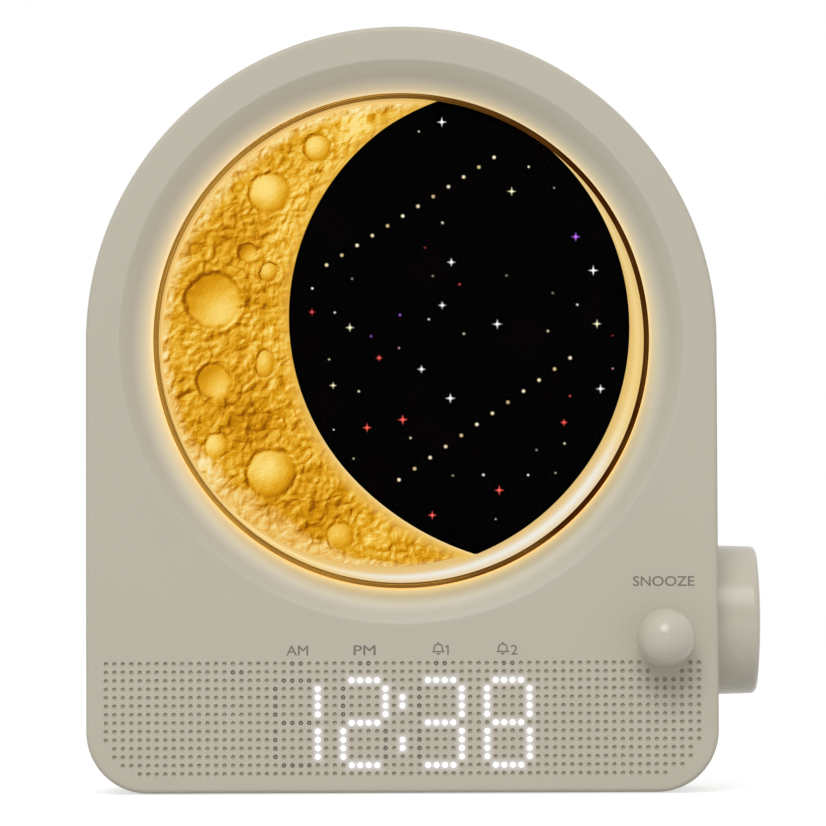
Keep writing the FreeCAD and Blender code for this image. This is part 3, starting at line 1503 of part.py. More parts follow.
def key_switches():
    switches = []
    for x in KEY_XS:
        shell = block(d.key_switch_side, d.key_switch_side, KEY_SWITCH_BACK, MAIN_BOARD_BACK,
                      x, -KEY_DROP)
        bore = cylinder(d.key_post_radius + d.key_switch_gap, KEY_SWITCH_BACK - d.overrun,
                        MAIN_BOARD_BACK + d.overrun, x, -KEY_DROP)
        switches.append(cut(shell, bore))
    return named(in_face(group(*switches)), "key_switches")


# Supply socket and backup cell

def supply_socket():
    """A metal sleeve with a tongue down its middle, standing on the main board."""
    socket = body("supply_socket")
    mouth = BACK + d.socket_inset
    drawing = sketch(socket, level=MAIN_BOARD_BACK)
    half = (d.socket_width - d.socket_height) / 2
    slot(drawing, d.socket_height / 2, half, ZERO, -SOCKET_DROP, upright=False)
    pad(socket, drawing, MAIN_BOARD_BACK - mouth)
    drawing = sketch(socket, level=MAIN_BOARD_BACK - d.board_thick)
    slot(drawing, d.socket_height / 2 - d.socket_wall, half, ZERO, -SOCKET_DROP, upright=False)
    pocket(socket, drawing)
    drawing = sketch(socket, level=MAIN_BOARD_BACK)
    polygon(drawing, [
        (-d.tongue_width / 2, -SOCKET_DROP - d.tongue_height / 2),
        (d.tongue_width / 2, -SOCKET_DROP - d.tongue_height / 2),
        (d.tongue_width / 2, -SOCKET_DROP + d.tongue_height / 2),
        (-d.tongue_width / 2, -SOCKET_DROP + d.tongue_height / 2),
    ])
    pad(socket, drawing, MAIN_BOARD_BACK - mouth - d.socket_inset)
    return in_face(socket)


def cell_holder():
    back = CELL_HOLDER_BACK
    radius = d.cell_radius + d.cell_gap
    cup = cylinder(radius + d.holder_wall, back, MAIN_BOARD_BACK, d.cell_x, -CELL_DROP)
    room = cylinder(radius, back - d.overrun, MAIN_BOARD_BACK - d.holder_floor,
                    d.cell_x, -CELL_DROP)
    return named(in_face(cut(cup, room)), "cell_holder")


def backup_cell():
    front = MAIN_BOARD_BACK - d.holder_floor
    can = body("backup_cell")
    drawing = sketch(can, level=front)
    circle(drawing, d.cell_radius, d.cell_x, -CELL_DROP)
    pad(can, drawing, d.cell_thick)
    rounded(can, d.cell_round, lambda edge: flat_at(edge, front - d.cell_thick))
    return in_face(can)


def battery_cover():
    """A round cover with a coin slot and two lugs that turn behind the back wall."""
    back = BACK + d.cover_inset
    top = back + d.cover_thick
    disc = cylinder(d.cover_radius, back, top, d.cell_x, -CELL_DROP)
    lug_low = BACK_INNER + d.cover_inset
    bar = block(2 * d.lug_radius, 2 * d.lug_half_width, lug_low, lug_low + d.lug_thick,
                d.cell_x, -CELL_DROP)
    reach = cylinder(d.lug_radius, lug_low, lug_low + d.lug_thick, d.cell_x, -CELL_DROP)
    coin = block(d.coin_slot_width, d.coin_slot_length, back - d.overrun,
                 back + d.coin_slot_depth, d.cell_x, -CELL_DROP)
    return named(in_face(cut(fuse(disc, common(bar, reach)), coin)), "battery_cover")


def build():
    parts = [
        front_case(), rear_case(), case_screws(), base_pad(),
        moon_bezel(), phase_window(), night_shade(), moon_tray(), moon_face(), halo_diffuser(),
        moon_lamp_board(), moon_lamps(),
        small_screws(HALO_SCREWS, FLANGE_BACK, d.small_screw_length, "halo_screws"),
        small_screws(HALO_POSTS, LAMP_BOARD_BACK, d.small_screw_length, "lamp_board_screws"),
        display_sheet(), display_frame(), display_lamps(), display_board(),
        small_screws(DISPLAY_POSTS, DISPLAY_BOARD_BACK, d.small_screw_length, "display_screws"),
        snooze_ball(), snooze_stem(), snooze_clip(), snooze_plunger(), snooze_switch(),
        snooze_board(),
        small_screws(SNOOZE_POSTS, SNOOZE_BOARD_BACK, d.small_screw_length, "snooze_screws"),
        volume_knob(), encoder_shaft(), encoder_body(), encoder_washer(), encoder_nut(),
        encoder_board(),
        speaker_basket(), speaker_magnet(), speaker_cone(), speaker_surround(),
        speaker_gasket(), speaker_screws(),
        main_board(), main_chips(), capacitors(), board_connectors(), main_board_screws(),
        ribbon("moon_ribbon", MOON_CONNECTOR, -d.lamp_circle, LAMP_BOARD_BACK),
        ribbon("display_ribbon", DISPLAY_CONNECTOR, DISPLAY_MIDDLE, DISPLAY_BOARD_BACK),
        speaker_lead(), snooze_lead(), volume_lead(),
        key_switches(), supply_socket(), cell_holder(), backup_cell(), battery_cover(),
    ]
    parts += [rear_key(number) for number in range(1, KEYS + 1)]
    doc.recompute()
    return parts


def check(parts):
    """Stops with a plain message if anything failed to build."""
    for thing in doc.Objects:
        if "Invalid" in thing.State or "Error" in thing.State:
            raise RuntimeError(f"{thing.Label} ({thing.Name}) did not build: {thing.State}")
    for part in parts:
        shape = part.Shape
        if shape.isNull() or not shape.isValid() or not shape.Solids:
            raise RuntimeError(f"{part.Label} has no valid solid")


def write(parts):
    os.makedirs("parts", exist_ok=True)
    for part in parts:
        part.Shape.exportStep(f"parts/{part.Label}.step")
        print(f"{part.Label}: {len(part.Shape.Solids)} solid(s), {part.Shape.Volume:.1f} mm3")


pieces = build()
check(pieces)
write(pieces)
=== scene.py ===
"""Moon phase desk clock, dressed for its photograph.

Every size in this file is in millimetres in the face frame unless it says otherwise: u runs to
the right and v up across the front face, both from the centre of the arch, and w runs out of the
face towards the viewer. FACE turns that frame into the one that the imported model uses.
"""

import logging
import math
import random
from dataclasses import dataclass
from enum import Enum

import bmesh
import bpy
from bmesh.types import BMEdge, BMesh, BMFace, BMVert
from bpy.types import Material, Node, NodeSocket, NodeTree, Object
from mathutils import Matrix, Vector, noise


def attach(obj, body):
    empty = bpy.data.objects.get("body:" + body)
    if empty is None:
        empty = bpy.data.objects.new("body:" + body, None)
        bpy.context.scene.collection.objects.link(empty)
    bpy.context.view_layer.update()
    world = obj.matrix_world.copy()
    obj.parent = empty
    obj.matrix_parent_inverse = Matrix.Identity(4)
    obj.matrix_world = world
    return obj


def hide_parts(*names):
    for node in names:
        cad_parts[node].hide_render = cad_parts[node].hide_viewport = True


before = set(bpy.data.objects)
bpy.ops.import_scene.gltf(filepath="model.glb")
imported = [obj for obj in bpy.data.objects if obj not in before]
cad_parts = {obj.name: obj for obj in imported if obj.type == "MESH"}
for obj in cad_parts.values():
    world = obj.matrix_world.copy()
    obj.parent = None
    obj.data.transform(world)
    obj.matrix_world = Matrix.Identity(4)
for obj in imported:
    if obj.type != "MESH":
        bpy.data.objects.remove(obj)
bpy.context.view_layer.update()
LOG = logging.getLogger("clock")

MM = 0.001
ARCH_CENTRE = Vector((0.0, -29.0, 117.9))
FACE = Matrix.Scale(MM, 4) @ Matrix.Translation(ARCH_CENTRE) @ Matrix.Rotation(math.pi / 2, 4, "X")


def linear(colour: str) -> tuple[float, float, float, float]:
    """Turns an sRGB hex colour into Blender's linear one.

    Args:
        colour: The colour as "#rrggbb".

    Returns:
        Red, green, blue and an alpha of one.
    """
    parts = [int(colour[start:start + 2], 16) / 255 for start in (1, 3, 5)]
    return (*[((c + 0.055) / 1.055) ** 2.4 if c > 0.04045 else c / 12.92 for c in parts], 1.0)


def hump(value: float, middle: float, width: float) -> float:
    """Gives a bell curve's height, one at its middle."""
    return math.exp(-((value - middle) / width) ** 2)


def clamp(value: float) -> float:
    """Keeps a value between nought and one."""
    return max(0.0, min(1.0, value))


def bearing(u: float, v: float) -> float:
    """Gives the angle of a direction, in degrees from 0 to 360."""
    return math.degrees(math.atan2(v, u)) % 360


def per_metre(size: float) -> float:
    """Gives the texture scale that repeats a pattern every size millimetres."""
    return 1.0 / (size * MM)


def add(tree: NodeTree, kind: str, inputs: dict | None = None, stops: tuple = (),
        **settings: str | bool) -> Node:
    """Adds one shader node with its settings and links.

    Args:
        tree: The node tree that it goes into.
        kind: The node's type without its ShaderNode prefix.
        inputs: What each input gets, by name or index: a number, a hex colour, a socket, or a node
            whose first output in use is meant.
        stops: Places and colours, for a colour ramp only.
        **settings: The node's other properties.

    Returns:
        The node.
    """
    node = tree.nodes.new("ShaderNode" + kind)
    for name, value in settings.items():
        setattr(node, name, value)
    for name, value in (inputs or {}).items():
        if isinstance(value, Node):
            value = next(output for output in value.outputs if output.enabled)
        if isinstance(value, NodeSocket):
            tree.links.new(value, node.inputs[name])
        else:
            node.inputs[name].default_value = linear(value) if isinstance(value, str) else value
    for index, (place, colour) in enumerate(stops):
        ramp = node.color_ramp.elements
        stop = ramp[index] if index < 2 else ramp.new(place)
        stop.position, stop.color = place, linear(colour)
    return node


# Finishes

@dataclass(frozen=True)
class Finish:
    """What all finishes share: a name and one material made from it."""

    name: str

    def shader(self, tree: NodeTree) -> Node:
        """Builds the finish's nodes.

        Args:
            tree: The material's node tree.

        Returns:
            The shader node.
        """
        raise NotImplementedError

    def material(self) -> Material:
        """Makes the finish a material, once.

        Returns:
            The material.
        """
        made = bpy.data.materials.get(self.name)
        if made is None:
            made = bpy.data.materials.new(self.name)
            made.use_nodes = True
            tree = made.node_tree
            tree.nodes.clear()
            add(tree, "OutputMaterial", {"Surface": self.shader(tree)})
        return made


@dataclass(frozen=True)
class MouldedPlastic(Finish):
    """Injection moulded plastic from a spark eroded tool: an even, softly matt skin whose grit
    breaks up the highlight, with the faint cloudiness that flow leaves."""

    colour: str
    cloud: str
    roughness: float = 0.5
    grit: float = 0.4
    grit_depth: float = 0.006
    cloud_size: float = 35.0
    specular: float = 0.5

    def shader(self, tree: NodeTree) -> Node:
        """Builds the finish's nodes.

        Args:
            tree: The material's node tree.

        Returns:
            The shader node.
        """
        place = add(tree, "TexCoord").outputs["Object"]
        cloud = add(tree, "TexNoise", {"Vector": place, "Scale": per_metre(self.cloud_size), "Detail": 3.0})
        tint = add(tree, "Mix", {"Factor": cloud, "A": self.colour, "B": self.cloud}, data_type="RGBA")
        grit = add(tree, "TexNoise", {"Vector": place, "Scale": per_metre(self.grit), "Detail": 2.0})
        skin = add(tree, "Bump", {"Height": grit, "Strength": 0.6, "Distance": self.grit_depth * MM})
        sheen = add(tree, "MapRange", {
            "Value": grit, "To Min": self.roughness - 0.05, "To Max": self.roughness + 0.05})
        return add(tree, "BsdfPrincipled", {
            "Base Color": tint, "Roughness": sheen,
            "Normal": skin, "Specular IOR Level": self.specular, "IOR": 1.53})


@dataclass(frozen=True)
class DishWithPaintedHaloGlow(MouldedPlastic):
    """The same moulded plastic round the dial, with the halo's light on the dish painted in as emission: a
    warm painted glow band that is gone a few millimetres from the ring."""

    light: str = "#ffe7a4"
    far_light: str = "#ffffe7"
    centre: tuple[float, float] = (-0.1, -0.8)
    reach: tuple[float, float] = (64.8, 70.7)
    fall_off: float = 1.4
    strength: float = 0.47

    def shader(self, tree: NodeTree) -> Node:
        """Builds the finish's nodes.

        Args:
            tree: The material's node tree.

        Returns:
            The shader node.
        """
        plastic = super().shader(tree)
        place = add(tree, "TexCoord").outputs["Object"]
        middle = ARCH_CENTRE + Vector((self.centre[0], 0.0, self.centre[1]))
        centre = add(tree, "VectorMath", {0: place, 1: tuple(middle * MM)}, operation="SUBTRACT")
        flat = add(tree, "VectorMath", {0: centre, 1: (1.0, 0.0, 1.0)}, operation="MULTIPLY")
        away = add(tree, "VectorMath", {0: flat}, operation="LENGTH")
        near = add(tree, "MapRange", {
            "Value": away, "From Min": self.reach[1] * MM, "From Max": self.reach[0] * MM})
        fall = add(tree, "Math", {0: near, 1: self.fall_off}, operation="POWER")
        power = add(tree, "Math", {0: fall, 1: self.strength}, operation="MULTIPLY")
        tint = add(tree, "Mix", {"Factor": near, "A": self.far_light, "B": self.light}, data_type="RGBA")
        # Painted glow: emission stands in for the halo's light falling on the dish.
        glow = add(tree, "Emission", {"Color": tint, "Strength": power})
        return add(tree, "AddShader", {0: plastic, 1: glow})


@dataclass(frozen=True)
class ShellWithPaintedDotGlow(MouldedPlastic):
    """The same moulded plastic round the lit dots, with a painted glow: a faint cold emission for a
    millimetre round each lit dot, as the points' own "glow" says."""

    light: str = "#e6e2ff"
    strength: float = 0.3

    def shader(self, tree: NodeTree) -> Node:
        """Builds the finish's nodes.

        Args:
            tree: The material's node tree.

        Returns:
            The shader node.
        """
        plastic = super().shader(tree)
        glow = add(tree, "Attribute", attribute_name="glow")
        power = add(tree, "Math", {0: glow.outputs["Fac"], 1: self.strength}, operation="MULTIPLY")
        # Painted glow round the lit dots, drawn as emission.
        lamp = add(tree, "Emission", {"Color": self.light, "Strength": power})
        return add(tree, "AddShader", {0: plastic, 1: lamp})


@dataclass(frozen=True)
class PlatedGold(Finish):
    """Polished metal with a thin gold plating and a painted reflection: painted bright towards the window on
    the left and falling to a deep brown on the far side, with the slight waviness that buffing leaves."""

    colour: str
    deep: str
    roughness: float = 0.24
    wave: float = 24.0
    painted_reflection_span: tuple[float, float] = (-50.0, 42.0)

    def shader(self, tree: NodeTree) -> Node:
        """Builds the finish's nodes.

        Args:
            tree: The material's node tree.

        Returns:
            The shader node.
        """
        place = add(tree, "TexCoord").outputs["Object"]
        wave = add(tree, "TexNoise", {"Vector": place, "Scale": per_metre(self.wave), "Detail": 2.0})
        parts = add(tree, "SeparateXYZ", {0: place})
        # Painted reflection: the colour runs from bright gold on the left to deep brown on the right.
        side = add(tree, "MapRange", {
            "Value": parts.outputs["X"], "From Min": self.painted_reflection_span[0] * MM, "From Max": self.painted_reflection_span[1] * MM})
        turn = add(tree, "Math", {0: wave, 1: 0.6, 2: side}, operation="MULTIPLY_ADD")
        far = add(tree, "Math", {0: turn, 1: 0.3}, operation="SUBTRACT", use_clamp=True)
        tint = add(tree, "Mix", {"Factor": far, "A": self.colour, "B": self.deep}, data_type="RGBA")
        buff = add(tree, "Bump", {"Height": wave, "Strength": 0.2, "Distance": 0.05 * MM})
        return add(tree, "BsdfPrincipled", {
            "Base Color": tint, "Metallic": 1.0, "Roughness": self.roughness, "Normal": buff})


@dataclass(frozen=True)
class ClearAcrylic(Finish):
    """Cast acrylic sheet, polished and coated: clear to the eye, with a thin cool line at its
    edge. Light from the lamps behind it passes straight through."""

    colour: str
    ior: float = 1.08

    def shader(self, tree: NodeTree) -> Node:
        """Builds the finish's nodes.

        Args:
            tree: The material's node tree.

        Returns:
            The shader node.
        """
        pane = add(tree, "BsdfPrincipled", {
            "Base Color": self.colour, "Roughness": 0.0, "IOR": self.ior, "Transmission Weight": 1.0})
        clear = add(tree, "BsdfTransparent", {"Color": self.colour})
        ray = add(tree, "LightPath")
        either = add(tree, "Math", {
            0: ray.outputs["Is Shadow Ray"], 1: ray.outputs["Is Diffuse Ray"]}, operation="MAXIMUM")
        return add(tree, "MixShader", {0: either, 1: pane, 2: clear})


@dataclass(frozen=True)
class MaskPrint(Finish):
    """Black screen print, several coats on a plastic sheet: it swallows the light of the lamps,
    with a faint warm bleed where the print is thinner."""

    colour: str
    bleed: str
    roughness: float = 0.55
    patch: float = 14.0

    def shader(self, tree: NodeTree) -> Node:
        """Builds the finish's nodes.

        Args:
            tree: The material's node tree.

        Returns:
            The shader node.
        """
        place = add(tree, "TexCoord").outputs["Object"]
        coat = add(tree, "TexNoise", {"Vector": place, "Scale": per_metre(self.patch), "Detail": 3.0})
        thin = add(tree, "ValToRGB", {"Fac": coat}, stops=((0.55, self.colour), (0.8, self.bleed)))
        return add(tree, "BsdfPrincipled", {
            "Base Color": thin, "Roughness": self.roughness, "Specular IOR Level": 0.0})


@dataclass(frozen=True)
class GlowInk(Finish):
    """Translucent ink dots, lit from behind: each keeps the colour that its print gives it and
    fades where its points run out."""

    strength: float = 1.0

    def shader(self, tree: NodeTree) -> Node:
        """Builds the finish's nodes.

        Args:
            tree: The material's node tree.

        Returns:
            The shader node.
        """
        ink = add(tree, "Attribute", attribute_name="ink")
        return add(tree, "BsdfPrincipled", {
            "Base Color": "#050505", "Roughness": 0.6, "Specular IOR Level": 0.1,
            "Emission Color": ink, "Emission Strength": self.strength})


@dataclass(frozen=True)
class ThinLacquer(Finish):
    """Amber lacquer run out thin beside the black print: it veils the moon next to the print and
    fades to nothing a few millimetres on, as its points' own "ink" says."""

    def shader(self, tree: NodeTree) -> Node:
        """Builds the finish's nodes.

        Args:
            tree: The material's node tree.

        Returns:
            The shader node.
        """
        ink = add(tree, "Attribute", attribute_name="ink")
        lit = add(tree, "Emission", {"Color": ink})
        bare = add(tree, "BsdfTransparent")
        return add(tree, "MixShader", {0: ink.outputs["Alpha"], 1: bare, 2: lit})


@dataclass(frozen=True)
class MoonCasting(Finish):
    """Amber resin cast over a sculpted master and lit from inside, with painted shade on its relief: its
    bead-like lumps are painted pale on top and deep orange in the creases, and the side that faces one fixed
    light direction is painted brighter."""

    bead: float = 1.9
    fold: float = 3.1
    grain: float = 0.7
    drift: float = 5.0
    bend: float = 0.0035
    relief: float = 0.64
    flow: tuple[float, float] = (31.9, 6.1)
    ridge: float = 1.9
    painted_light_way: tuple[float, float, float] = (-0.62, -0.55, 0.56)
    strength: float = 0.98

    def streaks(self, tree: NodeTree, place: NodeSocket) -> Node:
        """Builds long ridges that run along the moon's inner edge and die out away from it.

        Args:
            tree: The material's node tree.
            place: The object coordinates.

        Returns:
            The node that gives their height.
        """
        middle = ARCH_CENTRE + Vector((self.flow[0], 0.0, self.flow[1]))
        parts = add(tree, "SeparateXYZ", {
            0: add(tree, "VectorMath", {0: place, 1: tuple(middle * MM)}, operation="SUBTRACT")})
        turn = add(tree, "Math", {0: parts.outputs["Z"], 1: parts.outputs["X"]}, operation="ARCTAN2")
        flat = add(tree, "CombineXYZ", {0: parts.outputs["X"], 2: parts.outputs["Z"]})
        away = add(tree, "VectorMath", {0: flat}, operation="LENGTH")
        across = add(tree, "Math", {0: away, 1: per_metre(self.ridge)}, operation="MULTIPLY")
        along = add(tree, "Math", {0: turn, 1: 9.0}, operation="MULTIPLY")
        polar = add(tree, "CombineXYZ", {0: across, 1: along})
        ridge = add(tree, "TexNoise", {"Vector": polar, "Scale": 1.0, "Detail": 2.0})
        decimetres = add(tree, "Math", {0: away, 1: 10.0}, operation="MULTIPLY")
        fade = add(tree, "ValToRGB", {"Fac": decimetres}, stops=(
            (0.3, "#000000"), (0.8, "#000000"), (0.5, "#ffffff"), (0.65, "#ffffff")))
        return add(tree, "Math", {0: ridge, 1: fade}, operation="MULTIPLY")

    def shader(self, tree: NodeTree) -> Node:
        """Builds the finish's nodes.

        Args:
            tree: The material's node tree.

        Returns:
            The shader node.
        """
        place = add(tree, "TexCoord").outputs["Object"]
        tone = add(tree, "Attribute", attribute_name="tone")
        parts = add(tree, "SeparateColor", {0: tone})
        calm, pale, glow = (parts.outputs[i] for i in range(3))
        drift = add(tree, "TexNoise", {"Vector": place, "Scale": per_metre(self.drift), "Detail": 2.0})
        bent = add(tree, "VectorMath", {
            0: drift.outputs["Color"], 1: (self.bend,) * 3, 2: place}, operation="MULTIPLY_ADD")
        beads = add(tree, "TexVoronoi", {
            "Vector": bent, "Scale": per_metre(self.bead), "Smoothness": 0.9}, feature="SMOOTH_F1")
        domes = add(tree, "Math", {0: beads, 1: 2.0}, operation="POWER")
        folds = add(tree, "TexNoise", {"Vector": bent, "Scale": per_metre(self.fold), "Detail": 3.0,
                                       "Roughness": 0.55, "Distortion": 0.25})
        beaded = add(tree, "Math", {0: domes, 1: -1.15, 2: folds}, operation="MULTIPLY_ADD")
        rough = add(tree, "Math", {0: self.streaks(tree, place), 1: 0.9, 2: beaded}, operation="MULTIPLY_ADD")
        quiet = add(tree, "Math", {0: calm, 1: -0.96, 2: 1.0}, operation="MULTIPLY_ADD")
        grain = add(tree, "TexNoise", {"Vector": place, "Scale": per_metre(self.grain), "Detail": 2.0})
        coarse = add(tree, "Math", {0: rough, 1: quiet}, operation="MULTIPLY")
        height = add(tree, "Math", {0: grain, 1: 0.14, 2: coarse}, operation="MULTIPLY_ADD")
        bump = add(tree, "Bump", {"Height": height, "Strength": 1.0, "Distance": self.relief * MM})
        # Painted light and shade: the relief is brightened where it faces a fixed light direction and
        # darkened where it turns away.
        lit = add(tree, "VectorMath", {
            0: bump, 1: Vector(self.painted_light_way).normalized()}, operation="DOT_PRODUCT")
        # Painted shade in the creases and a lighter painted tone on the tops.
        painted_crease_shade = add(tree, "MapRange", {
            "Value": coarse, "From Min": 0.1, "From Max": 0.75, "To Min": -0.12, "To Max": 0.12})
        open_top = add(tree, "Math", {0: painted_crease_shade, 1: quiet}, operation="MULTIPLY")
        shade = add(tree, "Math", {0: lit, 1: open_top}, operation="ADD")
        # The tone's alpha brings in the seas' own tone and the craters' painted shade and highlight.
        deep = add(tree, "Math", {0: shade, 1: tone.outputs["Alpha"]}, operation="SUBTRACT")
        body = add(tree, "ValToRGB", {"Fac": deep}, stops=(
            (0.05, "#8f5000"), (0.96, "#ffe07a"), (0.28, "#be7a00"), (0.52, "#de9c0e"), (0.76, "#f2be3e")))
        thin = add(tree, "ValToRGB", {"Fac": deep}, stops=(
            (0.1, "#d4922a"), (0.92, "#ffeeb4"), (0.4, "#ecb652"), (0.64, "#f7d37e")))
        rim = add(tree, "Math", {0: deep, 1: 0.35, 2: pale}, operation="MULTIPLY_ADD")
        near = add(tree, "MapRange", {
            "Value": rim, "From Min": 0.2, "From Max": 0.95}, interpolation_type="SMOOTHSTEP")
        soft = add(tree, "Mix", {"Factor": near, "A": body, "B": thin}, data_type="RGBA")
        hot = add(tree, "Mix", {"Factor": glow, "A": soft, "B": "#fff3c4"}, data_type="RGBA")
        return add(tree, "BsdfPrincipled", {
            "Base Color": "#201000", "Roughness": 0.5, "Specular IOR Level": 0.04,
            "Normal": bump, "Emission Color": hot,
            "Emission Strength": self.strength})


@dataclass(frozen=True)
class LampPlastic(Finish):
    """Opal plastic with a lamp behind it: the skin glows in one even colour."""

    colour: str
    strength: float
    milk: float = 12.0

    def shader(self, tree: NodeTree) -> Node:
        """Builds the finish's nodes.

        Args:
            tree: The material's node tree.

        Returns:
            The shader node.
        """
        place = add(tree, "TexCoord").outputs["Object"]
        milk = add(tree, "TexNoise", {"Vector": place, "Scale": per_metre(self.milk)})
        even = add(tree, "MapRange", {"Value": milk, "To Min": 0.75, "To Max": 0.9})
        return add(tree, "BsdfPrincipled", {
            "Base Color": self.colour, "Roughness": even,
            "Emission Color": self.colour, "Emission Strength": self.strength})


@dataclass(frozen=True)
class SatinReflector(Finish):
    """Gold lacquer on a moulded tray, with the lamps' light on it painted in as emission: a soft painted
    gradient round the rim, a painted white highlight at the lower right, and deeper gold along both edges of
    the band."""

    edge: str = "#e6c070"
    depth: tuple[float, float] = (1.9, 7.0)
    strength: float = 0.97

    def shader(self, tree: NodeTree) -> Node:
        """Builds the finish's nodes.

        Args:
            tree: The material's node tree.

        Returns:
            The shader node.
        """
        place = add(tree, "TexCoord").outputs["Object"]
        centre = add(tree, "VectorMath", {0: place, 1: tuple(ARCH_CENTRE * MM)}, operation="SUBTRACT")
        parts = add(tree, "SeparateXYZ", {0: centre})
        angle = add(tree, "Math", {0: parts.outputs["Z"], 1: parts.outputs["X"]}, operation="ARCTAN2")
        turn = add(tree, "MapRange", {"Value": angle, "From Min": -math.pi, "From Max": math.pi})
        # Painted light round the rim, with a painted white highlight at the lower right.
        painted_lamp_wash = add(tree, "ValToRGB", {"Fac": turn}, stops=(
            (0.0, "#f0c070"), (1.0, "#f0c070"), (0.07, "#f2ca7c"), (0.125, "#fade98"), (0.19, "#f8e0a6"),
            (0.24, "#eee9d8"), (0.28, "#f0ede2"), (0.4, "#f2eee2"), (0.44, "#f5dfa6"), (0.47, "#f4d68e"),
            (0.62, "#ead296"), (0.75, "#eec27a")))
        depth = add(tree, "MapRange", {
            "Value": parts.outputs["Y"], "From Min": self.depth[0] * MM, "From Max": self.depth[1] * MM})
        # Painted light across the band: white in the middle, deeper gold towards both edges.
        band = add(tree, "ValToRGB", {"Fac": depth}, stops=(
            (0.0, "#b8b8b8"), (1.0, "#303030"), (0.12, "#e0e0e0"), (0.22, "#ffffff"), (0.36, "#ffffff"),
            (0.5, "#b4b4b4"), (0.66, "#707070")))
        side = add(tree, "Mix", {"Factor": band, "A": self.edge, "B": painted_lamp_wash}, data_type="RGBA")
        return add(tree, "BsdfPrincipled", {
            "Base Color": "#2a1c08", "Roughness": 0.4, "Specular IOR Level": 0.1,
            "Emission Color": side, "Emission Strength": self.strength})


@dataclass(frozen=True)
class RolledMetal(Finish):
    """Bare or plated metal parts: fine random scratches from handling over a bright ground."""

    colour: str
    roughness: float = 0.3
    scratch: float = 0.9

    def shader(self, tree: NodeTree) -> Node:
        """Builds the finish's nodes.

        Args:
            tree: The material's node tree.

        Returns:
            The shader node.
        """
        place = add(tree, "TexCoord").outputs["Object"]
        fine = add(tree, "TexNoise", {"Vector": place, "Scale": per_metre(self.scratch), "Detail": 4.0})
        sheen = add(tree, "MapRange", {
            "Value": fine, "To Min": self.roughness - 0.1, "To Max": self.roughness + 0.12})
        return add(tree, "BsdfPrincipled", {"Base Color": self.colour, "Metallic": 1.0, "Roughness": sheen})


@dataclass(frozen=True)
class GlassClothBoard(Finish):
    """Epoxy on woven glass under solder resist: green, with the cloth's 0.5 mm weave just showing."""

    colour: str
    weave: str
    thread: float = 0.5

    def shader(self, tree: NodeTree) -> Node:
        """Builds the finish's nodes.

        Args:
            tree: The material's node tree.

        Returns:
            The shader node.
        """
        place = add(tree, "TexCoord").outputs["Object"]
        cloth = add(tree, "TexChecker", {
            "Vector": place, "Scale": per_metre(self.thread), "Color1": self.colour, "Color2": self.weave})
        return add(tree, "BsdfPrincipled", {"Base Color": cloth, "Roughness": 0.35})


@dataclass(frozen=True)
class FibrePulp(Finish):
    """Pressed fibre, foam or felt: matt, mottled and slightly uneven to the touch."""

    colour: str
    fleck: str
    size: float = 0.8

    def shader(self, tree: NodeTree) -> Node:
        """Builds the finish's nodes.

        Args:
            tree: The material's node tree.

        Returns:
            The shader node.
        """
        place = add(tree, "TexCoord").outputs["Object"]
        pulp = add(tree, "TexVoronoi", {"Vector": place, "Scale": per_metre(self.size)})
        tint = add(tree, "ValToRGB", {"Fac": pulp}, stops=((0.0, self.fleck), (0.8, self.colour)))
        nap = add(tree, "Bump", {"Height": pulp, "Strength": 0.4, "Distance": 0.05 * MM})
        return add(tree, "BsdfPrincipled", {"Base Color": tint, "Roughness": 0.9, "Normal": nap})


@dataclass(frozen=True)
class StudioWhite(Finish):
    """Seamless white paper: the camera, the metal and the glass see it white, and it keeps the
    object's shadow."""

    colour: str = "#cacaca"
    lift: float = 0.62

    def shader(self, tree: NodeTree) -> Node:
        """Builds the finish's nodes.

        Args:
            tree: The material's node tree.

        Returns:
            The shader node.
        """
        ray = add(tree, "LightPath")
        seen = add(tree, "Math", {
            0: ray.outputs["Is Camera Ray"], 1: ray.outputs["Is Glossy Ray"]}, operation="MAXIMUM")
        either = add(tree, "Math", {0: seen, 1: ray.outputs["Is Transmission Ray"]}, operation="MAXIMUM")
        power = add(tree, "Math", {0: either, 1: self.lift}, operation="MULTIPLY")
        return add(tree, "BsdfPrincipled", {
            "Base Color": self.colour, "Roughness": 0.9, "Specular IOR Level": 0.1,
            "Emission Color": "#ffffff", "Emission Strength": power})


